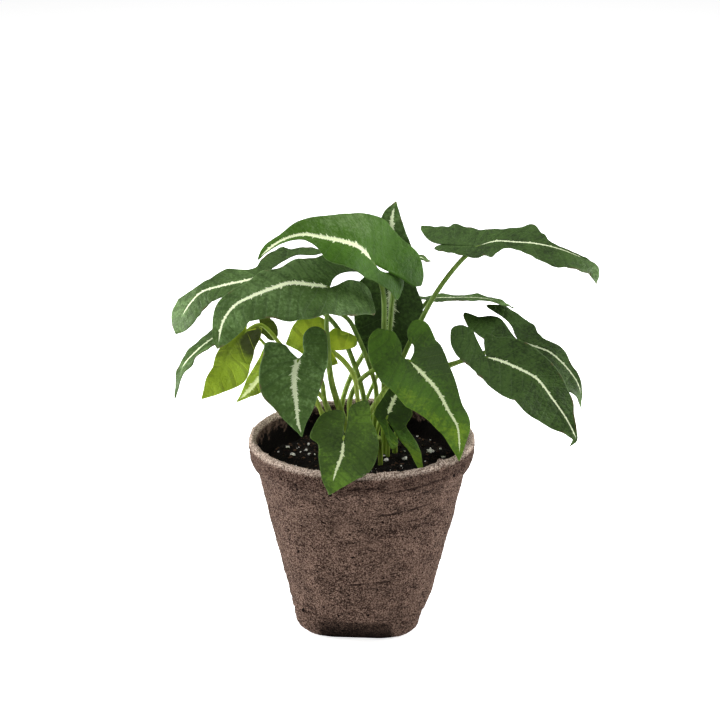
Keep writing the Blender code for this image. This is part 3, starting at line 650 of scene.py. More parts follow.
def bark_finish():
    bark = Finish("bark_crumbs", roughness=1.0, specular=0.1)
    paler = bark.ease(bark.grain(0.7, 2), 0.4, 0.7)
    chips = bark.ease(bark.grain(4, 1), 0.5, 0.66)
    bark.colour((0.004, 0.003, 0.0025), [(paler, (0.024, 0.014, 0.009)), (chips, (0.08, 0.045, 0.028))])
    bark.bump(bark.grain(0.4, 2), 0.3)
    return bark.material


crumb_points, crumb_faces = loose_crumbs()
loose = make_piece("soil_crumbs", crumb_points, crumb_faces, bark_finish(), sharp=35)
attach(loose, "root")

# White grains of perlite, a puffed volcanic glass, are mixed into the soil to let air in. The large ones lie
# where they show in front and at the sides, and small ones are strewn between them.
# x, y and size of each large grain
PERLITE = [
    (-40, 18, 1.1), (-37, 8, 1.7), (-30, 15, 1.4), (-45, 14, 0.6), (-34, 18, 0.5), (-28, 4, 1.1),
    (-25, 3, 0.6), (-29, 23, 1.0), (12, 1, 1.3), (13, -4, 1.5), (23, -2, 1.6), (37, 11, 2.1),
    (43, 17, 0.7), (38, 36, 0.6), (44, 6, 1.0), (31, 40, 0.7), (-33, 12, 0.6), (21, -12, 0.7),
    (34, -3, 0.6), (-12, -30, 1.1), (-38, -14, 1.0), (8, 44, 1.2), (-20, 38, 1.4), (27, 30, 1.2),
]
SMALL_GRAINS = 34
SMALL_GRAIN = (0.2, 0.45)


def perlite_grains():
    draw = random.Random(23)
    lumps = [lump(on_soil(x, y, -size * 0.25), size * 0.8, draw, 2, 0.95) for x, y, size in PERLITE]
    for _ in range(SMALL_GRAINS):
        radius = (SOIL_TOP_RADIUS - 2) * math.sqrt(draw.random())
        angle = draw.uniform(0, math.tau)
        size = draw.uniform(*SMALL_GRAIN)
        place = on_soil(radius * math.cos(angle), radius * math.sin(angle), 0)
        lumps.append(lump(place, size, draw, 1, 0.9))
    return join_tubes(lumps)


def perlite_finish():
    perlite = Finish("perlite", roughness=0.85, specular=0.3)
    dusty = perlite.ease(perlite.grain(0.9, 3), 0.45, 0.7)
    perlite.colour((0.8, 0.78, 0.74), [(dusty, (0.16, 0.14, 0.12))])
    perlite.bump(perlite.grain(0.35, 2), 0.3)
    return perlite.material


grain_points, grain_faces = perlite_grains()
grains = make_piece("perlite_grains", grain_points, grain_faces, perlite_finish(), sharp=50)
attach(grains, "root")

# The grown leaves are arrowheads of thin velvety tissue, dark green with a white feather along the midrib.
# Each hangs on a long round stalk, which runs on under the blade as a raised rib.
CURL_SPAN = 25.0
LOBE_EASING = 6.0
RIB_STEPS = 60
EDGE_STEPS = 200
LOBE_ROWS = 30
BLADE_ROWS = 66
BLADE_COLUMNS = 18
BLADE_THICKNESS = 0.45
VEIN_SLANT = 0.6
CHANNEL_DEPTH = 0.3
CHANNEL_WIDTH = 0.9
LOBE_CHANNEL_DEPTH = 0.15
PUFF_HEIGHT = 0.26
SUNK_WIDTH = 0.16
HUMP_HEIGHT = 0.45
HUMP_SIZE = 11.0
PUCKER_HEIGHT = 0.16
PUCKER_SIZE = 3.4
RIPPLE_REACH = 2.2
RIPPLE_SIZE = 4.3
WAVE_HEIGHT = 0.5
WAVE_COUNT = 4
STALK_UPRIGHT = (74.0, 95.0, 99.0)
STALK_SINK = 0.3
STALK_STEPS = 74
STALK_SIDES = 14
KNEE_SWELL = 0.12
KNEE_LENGTH = 4.0
GROOVE_DEPTH = 0.16
GROOVE_ANGLE = 1.2
GROOVE_WIDTH = 0.45
RIB_RINGS = 36
RIB_SPAN = (0.09, 0.92)
RIB_START = 5.0
BLADE_MARKS = ("along", "across", "white", "whiteness", "bright", "edge", "vein", "lobe_rib")


def unit(vector):
    return vector / np.linalg.norm(vector)


def place_on(curve, place):
    low = min(int(place), len(curve) - 2)
    return mix(curve[low], curve[low + 1], place - low)


def rolled(distance, slope, roll, easing=0.0):
    """How far out and how high a strip of this length ends, as it takes up its slope and then rolls."""
    out = 0.0
    height = 0.0
    for part in (0.1, 0.3, 0.5, 0.7, 0.9):
        here = part * distance
        started = 1 - math.exp(-here / easing) if easing else 1
        angle = math.radians(slope * started + roll * here / CURL_SPAN)
        out += math.cos(angle) * distance / 5
        height += math.sin(angle) * distance / 5
    return out, height


class Leaf:
    """A leaf with its stalk.

    rib: points along the midrib, from where the stalk meets the blade to the tip.
    foot, bends: where the stalk stands in the soil, and the points that it passes on the way up.
    faces: the ways that the upper face looks, evenly spaced from the base to the tip.
    left, right: each half of the outline from the notch round the lobe towards the tip, seen from above with
    the tip pointing away, as millimetres along the rib, below 0 behind its base, and across from it.
    fold, curl: degrees that each half is raised at the rib, and that it rolls over 25 mm.
    back: degrees that each lobe's line turns to the right behind the base, that it rises, and that it rolls.
    stalk_radii: the stalk's radius at the soil and at the blade.
    feather: where the white feather starts, is widest and ends, as shares of the rib, and its half width.
    whiteness: how white the feather is.
    spots: painted light, shade and sheen, with some lighter and darker tone, as millimetres along and across
    to the right, their radius and strength.
    vein_gap: millimetres from one side vein to the next.
    ripple: how high the crinkles at the edge are.
    """

    def __init__(
        self,
        name,
        *,
        rib,
        foot,
        bends,
        faces,
        left,
        right,
        fold=(0, 0),
        curl=(0, 0),
        back=((0, 0, 0), (0, 0, 0)),
        stalk_radii=(1.6, 1.2),
        feather,
        whiteness=1.0,
        spots=(),
        vein_gap=7.0,
        ripple=0.4,
    ):
        self.name = name
        self.foot = foot
        self.halves = {-1: left, 1: right}
        self.fold = {-1: fold[0], 1: fold[1]}
        self.curl = {-1: curl[0], 1: curl[1]}
        self.back = {-1: back[0], 1: back[1]}
        self.stalk_radii = stalk_radii
        self.feather = feather
        self.whiteness = whiteness
        self.spots = spots
        self.vein_gap = vein_gap
        self.ripple = ripple
        self.seed = Vector((7.0 * len(name), foot[0], foot[1]))
        self.line, self.length = smooth_line(rib, RIB_STEPS)
        ahead = np.gradient(self.line, axis=0)
        self.ahead = ahead / np.linalg.norm(ahead, axis=1)[:, None]
        looks = np.array([unit(np.array(face, float)) for face in faces])
        share = np.linspace(0, len(faces) - 1, RIB_STEPS + 1)
        up = np.stack([np.interp(share, range(len(faces)), axis) for axis in looks.T], axis=1)
        up -= (up * self.ahead).sum(axis=1)[:, None] * self.ahead
        self.up = up / np.linalg.norm(up, axis=1)[:, None]
        self.bends = bends

    def frame(self, along):
        """The rib's point this far along it, with the directions ahead, up and to the right there."""
        place = min(max(along / self.length, 0), 1) * RIB_STEPS
        low = min(int(place), RIB_STEPS - 1)
        part = place - low
        point = mix(self.line[low], self.line[low + 1], part)
        ahead = unit(mix(self.ahead[low], self.ahead[low + 1], part))
        up = unit(mix(self.up[low], self.up[low + 1], part))
        return point, ahead, up, unit(np.cross(ahead, up))

    def outline(self, side):
        """Half of the outline from the notch to the tip, and where on it the lobe's end and the waist are."""
        curve, _ = smooth_line([(0, 0), *self.halves[side], (self.length, 0)], EDGE_STEPS)
        lobe_end = int(np.argmin(curve[:, 0]))
        waist = lobe_end + int(np.argmax(curve[lobe_end:, 0] >= 0))
        return curve, lobe_end, waist

    def rows(self, side):
        """Lines across half of the blade, from the lobe's end to the tip.

        Each is its inner and outer end, its place on the outline, and how far down the lobe it lies.
        """
        curve, lobe_end, waist = self.outline(side)
        rows = []
        for share in np.linspace(1, 0, LOBE_ROWS, endpoint=False):
            place = mix(waist, lobe_end, share)
            rows.append((place_on(curve, lobe_end * share), place_on(curve, place), place, share))
        for place in np.linspace(waist, EDGE_STEPS, BLADE_ROWS + 1):
            start = self.length * (place - waist) / (EDGE_STEPS - waist)
            rows.append((np.array([start, 0]), place_on(curve, place), place, 0))
        return rows

    def vein_place(self, along, across, side):
        """How many side veins a point lies from the base, and how far it is from the lobe's own rib."""
        along_end, out = min(self.halves[side])
        reach = -along_end
        blade = (along - VEIN_SLANT * across) / self.vein_gap
        if along >= 0:
            return blade, math.hypot(along, across)
        size = math.hypot(reach, out)
        down = (across * out - along * reach) / size
        off = (across * reach + along * out) / size
        lobe = (VEIN_SLANT * abs(off) - down) / self.vein_gap
        share = smooth_step(0, 0.5 * reach, -along)
        return mix(blade, lobe, share), abs(off) + 0.4 * max(0.0, down - 0.6 * size)

    def relief(self, along, across, vein, lobe_rib, edge):
        """Height of the rib's channel, of the puffs between the side veins and of the fine unevenness."""
        near_tip = min(max(along / self.length, 0), 1)
        shallow = 1 - 0.7 * near_tip
        channel = -CHANNEL_DEPTH * shallow * math.exp(-((across / CHANNEL_WIDTH) ** 2)) * (along > -1)
        sunk = abs(vein - round(vein))
        fade = smooth_step(0.5, 4, across) * smooth_step(0.8, 5, edge)
        puffs = math.exp(-((sunk / SUNK_WIDTH) ** 2)) - 0.5 * math.cos(math.tau * vein)
        puffs = -PUFF_HEIGHT * fade * puffs
        lobe = -LOBE_CHANNEL_DEPTH * smooth_step(1, 4, edge) * math.exp(-((lobe_rib / CHANNEL_WIDTH) ** 2))
        spot = Vector((along, across, 0)) + self.seed
        humps = HUMP_HEIGHT * noise.noise(spot / HUMP_SIZE)
        puckers = PUCKER_HEIGHT * noise.noise(spot / PUCKER_SIZE)
        uneven = (humps + puckers) * smooth_step(0, 4, across)
        ripple = self.ripple * math.exp(-edge / RIPPLE_REACH) * noise.noise(spot / RIPPLE_SIZE)
        return channel + puffs + lobe + uneven + ripple

    def point(self, along, across, side, spread, station, relief):
        """A point of the blade: along the rib, behind the base where negative, and across from it."""
        point, ahead, up, right = self.frame(along)
        if along < 0:
            turn, rise, roll = self.back[side]
            behind, lifted = rolled(-along, rise, roll, LOBE_EASING)
            flat = right * math.sin(math.radians(turn)) - ahead * math.cos(math.radians(turn))
            point = point + flat * behind + up * lifted
        out, lift = rolled(across, self.fold[side], self.curl[side])
        lift += relief
        lift += WAVE_HEIGHT * spread**2 * math.sin(math.tau * WAVE_COUNT * station + side)
        return point + right * side * out + up * lift

    def feather_width(self, along):
        """Half width of the white feather this far along the rib."""
        start, widest, end, width = self.feather
        share = along / self.length
        rise = smooth_step(start - 0.02, mix(start, widest, 0.35) + 0.01, share)
        fall = 1 - 0.6 * smooth_step(widest, end, share)
        return width * rise * fall * smooth_step(end, end - 0.12, share)

    def brightness(self, along, across):
        """How much painted light, shade and sheen, with some lighter or darker tone, a place gets over its
        usual green.
        """
        total = 0.0
        for centre, off, radius, strength in self.spots:
            total += strength * math.exp(-((along - centre) ** 2 + (across - off) ** 2) / radius**2)
        return total


def blade_skin(leaf):
    """Points, faces and marks of the blade's upper face. Both halves share the rib's points."""
    points = []
    faces = []
    marks = {mark: [] for mark in BLADE_MARKS}
    found = {}

    def index(along, across, side, spread, station, edge):
        """The number of the point here, which is made if it is new."""
        key = (round(along, 3), round(across * side, 3))
        if key not in found:
            found[key] = len(points)
            vein, lobe_rib = leaf.vein_place(along, across, side)
            height = leaf.relief(along, across, vein, lobe_rib, edge)
            points.append(leaf.point(along, across, side, spread, station, height))
            white = leaf.feather_width(along)
            bright = leaf.brightness(along, across * side)
            values = (along, across * side, white, leaf.whiteness, bright, edge, vein, lobe_rib)
            for mark, value in zip(marks.values(), values):
                mark.append(value)
        return found[key]

    for side in (-1, 1):
        rows = []
        for inner, outer, place, lobe_share in leaf.rows(side):
            width = np.linalg.norm(outer - inner)
            row = []
            for share in np.linspace(0, 1, BLADE_COLUMNS + 1):
                along, across = mix(inner, outer, share)
                edge = width * (1 - share)
                if lobe_share:
                    edge = min(edge, width * share + 30 * (1 - lobe_share) ** 2)
                spread = mix(share, 1, lobe_share)
                row.append(index(along, across, side, spread, place / EDGE_STEPS, edge))
            rows.append(row)
        for low, high in zip(rows, rows[1:]):
            for corners in zip(low, low[1:], high[1:], high):
                corners = tuple(dict.fromkeys(corners))
                if len(corners) > 2:
                    faces.append(corners[::side])
    return points, faces, marks


def stalk_skin(leaf):
    """The stalk from the soil to the blade, going on as the rib under it."""
    low, high = leaf.stalk_radii
    upright = [(*leaf.foot, height) for height in STALK_UPRIGHT]
    joint = leaf.line[0] - leaf.up[0] * (0.9 * high + STALK_SINK)
    past_joint = joint + leaf.ahead[0] * 4 - leaf.up[0] * 0.5
    route, run = smooth_line([*upright, *leaf.bends, joint, past_joint], STALK_STEPS)
    points = list(route)
    radii = []
    for share in np.linspace(0, 1, len(route)):
        knee = 1 + KNEE_SWELL * math.exp(-(((1 - share) * run / KNEE_LENGTH) ** 2))
        radii.append(mix(low, high, share) * knee)
    for share in np.linspace(*RIB_SPAN, RIB_RINGS):
        place = share * leaf.length
        if place < RIB_START:
            continue
        point, _, up, _ = leaf.frame(place)
        radius = high * 0.85 * (1 - share) ** 0.8 + 0.12
        points.append(point - up * (radius * 0.75 + 0.75))
        radii.append(radius)

    def grooved(angle):
        off = math.remainder(angle - GROOVE_ANGLE, math.tau)
        return 1 - GROOVE_DEPTH * math.exp(-((off / GROOVE_WIDTH) ** 2))

    return tube(points, radii, STALK_SIDES, grooved)


def darker(colour, share):
    return tuple(share * part for part in colour)


def off_vein(finish):
    """Zero on each side vein, and one halfway between two of them."""
    return finish.reckon("ABSOLUTE", finish.reckon("SINE", finish.times(finish.mark("vein"), math.pi)))


def leaf_finish(name, dark, middle, light, white, patchy, vein_light=0.16, dead=0.0, gloss=0.1):
    """The upper face: velvety green, cloudy between its sunken veins, with the jagged white feather."""
    leaf = Finish(name, roughness=0.55, specular=gloss)
    along = leaf.mark("along")
    across = leaf.mark("across")
    edge = leaf.mark("edge")
    off_rib = leaf.reckon("ABSOLUTE", across)
    cloud = leaf.reckon("SUBTRACT", leaf.grain(13, 4), 0.5)
    speckle = leaf.reckon("SUBTRACT", leaf.grain(1.5, 4, shift=0.3), 0.5)
    net = leaf.net(2.7)
    # the spots add painted light, shade and sheen to the random clouds of lighter and darker green
    level = leaf.times_plus(cloud, patchy * 5, leaf.mark("bright"))
    level = leaf.times_plus(speckle, patchy * 5, level)
    level = leaf.times_plus(net, -0.35 * patchy, level)

    beside_rib = leaf.ease(off_rib, 0.6, 4)
    on_vein = leaf.times(leaf.ease(off_vein(leaf), 0.12, 0.02), beside_rib)
    puff = leaf.reckon("SINE", leaf.times_plus(leaf.mark("vein"), math.tau, 0.5))
    shade = leaf.times(leaf.ease(puff, 0.3, 1), beside_rib)
    lobe_line = leaf.ease(leaf.mark("lobe_rib"), 0.45, 0.1)
    rim = leaf.ease(edge, 0.5, 0.12)
    patches = leaf.ease(leaf.grain(8, 3, shift=0.7), 0.52, 0.62, 0, dead)
    scorched = leaf.times(leaf.ease(edge, 1.3, 0.3), patches)

    # the feather's spikes lean towards the tip, and differ on the two sides of the rib
    lead = leaf.times_plus(off_rib, -0.7, along)
    lead = leaf.times_plus(leaf.reckon("SIGN", across), 61.3, lead)
    spikes = leaf.ease(leaf.grain_along(lead, 1.8, 1), 0.56, 0.78, 0, 0.85)
    teeth = leaf.ease(leaf.grain_along(lead, 0.45, 2), 0.35, 0.7, 0, 0.55)
    reach = leaf.reckon("ADD", leaf.reckon("ADD", spikes, teeth), 0.6)
    reach = leaf.times(reach, leaf.mark("white"))
    inside = leaf.reckon("SUBTRACT", reach, off_rib)
    feathered = leaf.times(leaf.ease(inside, -0.1, 0.14), leaf.ease(leaf.mark("white"), 0.05, 0.25))
    streaks = leaf.ease(leaf.grain_along(lead, 0.3, 2), 0.4, 0.75)
    pale = leaf.blend(leaf.times(streaks, 0.5), white, darker(white, 0.6))
    pale = leaf.blend(leaf.mark("whiteness"), middle, pale)
    leaf.colour(
        dark,
        [
            (leaf.ease(level, -1, 0), middle),
            (leaf.ease(level, 0, 1), light),
            (leaf.times(on_vein, vein_light), light),
            (leaf.times(shade, 0.3), dark),
            (leaf.times(lobe_line, vein_light * 2.2), light),
            (leaf.times(rim, 0.35), light),
            (scorched, (0.09, 0.055, 0.025)),
            (feathered, pale),
        ],
    )
    leaf.put(leaf.ease(leaf.grain(5, 2), 0.3, 0.7, 0.42, 0.58), leaf.shader.inputs["Roughness"])
    relief = leaf.times_plus(on_vein, -0.5, leaf.times(leaf.grain(0.6, 3), 0.7))
    relief = leaf.times_plus(net, -0.25, relief)
    leaf.bump(leaf.times_plus(leaf.grain(3, 2), 1.3, relief), 0.35)
    return leaf.material


def underside_finish(name, green, pale):
    """The lower face: matt and paler, with its veins standing out."""
    under = Finish(name, roughness=0.75, specular=0.12)
    veins = under.times(under.ease(off_vein(under), 0.14, 0.02), 0.55)
    cloudy = tuple(mix(part, light, 0.3) for part, light in zip(green, pale))
    under.colour(green, [(under.ease(under.grain(6, 3), 0.3, 0.7), cloudy), (veins, pale)])
    under.bump(under.reckon("ADD", veins, under.grain(0.8, 3)), 0.25)
    return under.material


def stalk_finish(name, low, high, streak):
    """Smooth and round, with long pale streaks, lighter yellow-green near the soil, and painted darker higher
    up, as the shade under the leaves.
    """
    stalk = Finish(name, roughness=0.5, specular=0.16)
    height = stalk.height()
    streaks = stalk.ease(stalk.grain(1.1, 3, stretch=(1, 1, 0.06)), 0.45, 0.62)
    # painted shade: higher up, the streaks fade and the green darkens, as the shade under the leaves
    streaks = stalk.times(streaks, stalk.ease(height, 0.11, 0.17, 1, 0.25))
    blotches = stalk.ease(stalk.grain(9, 3), 0.5, 0.75, 0, 0.45)
    stalk.colour(
        low,
        [
            (stalk.ease(height, 0.1, 0.165), high),
            (stalk.times(streaks, 0.6), streak),
            (blotches, darker(high, 0.5)),
        ],
    )
    stalk.bump(stalk.reckon("ADD", streaks, stalk.grain(0.7, 2)), 0.15)
    return stalk.material


def grow(leaf, upper, under, stalk, has_solid=True):
    """The blade and the stalk of a leaf, in the place of its plain solid where it has one."""
    points, faces, marks = blade_skin(leaf)
    blade = make_piece(leaf.name + "_blade", points, faces, upper, marks, sharp=180)
    blade.data.materials.append(under)
    thicken = blade.modifiers.new("thickness", "SOLIDIFY")
    thicken.thickness = BLADE_THICKNESS * MM
    thicken.offset = -1
    thicken.material_offset = 1
    points, faces = stalk_skin(leaf)
    stem = make_piece(leaf.name + "_stalk", points, faces, stalk, sharp=180)
    for piece in (blade, stem):
        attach(piece, "root")
        if has_solid:
            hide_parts(leaf.name)


grown_green = leaf_finish(
    "grown_leaf",
    dark=(0.016, 0.033, 0.006),
    middle=(0.04, 0.08, 0.0155),
    # greyed, so that the spots which lighten the leaf give it a painted sheen
    light=(0.1, 0.175, 0.052),
    white=(0.76, 0.84, 0.55),
    patchy=0.42,
    dead=0.6,
)
lower_green = leaf_finish(
    "lower_leaf",
    dark=(0.018, 0.034, 0.006),
    middle=(0.036, 0.07, 0.01),
    light=(0.08, 0.155, 0.016),
    white=(0.7, 0.78, 0.46),
    patchy=0.42,
)
grown_under = underside_finish("grown_leaf_underside", (0.085, 0.13, 0.055), (0.2, 0.27, 0.12))
# its second green is painted darker, as the shade under the leaves
green_stalk = stalk_finish("green_stalk", (0.17, 0.26, 0.025), (0.07, 0.125, 0.014), (0.3, 0.38, 0.08))

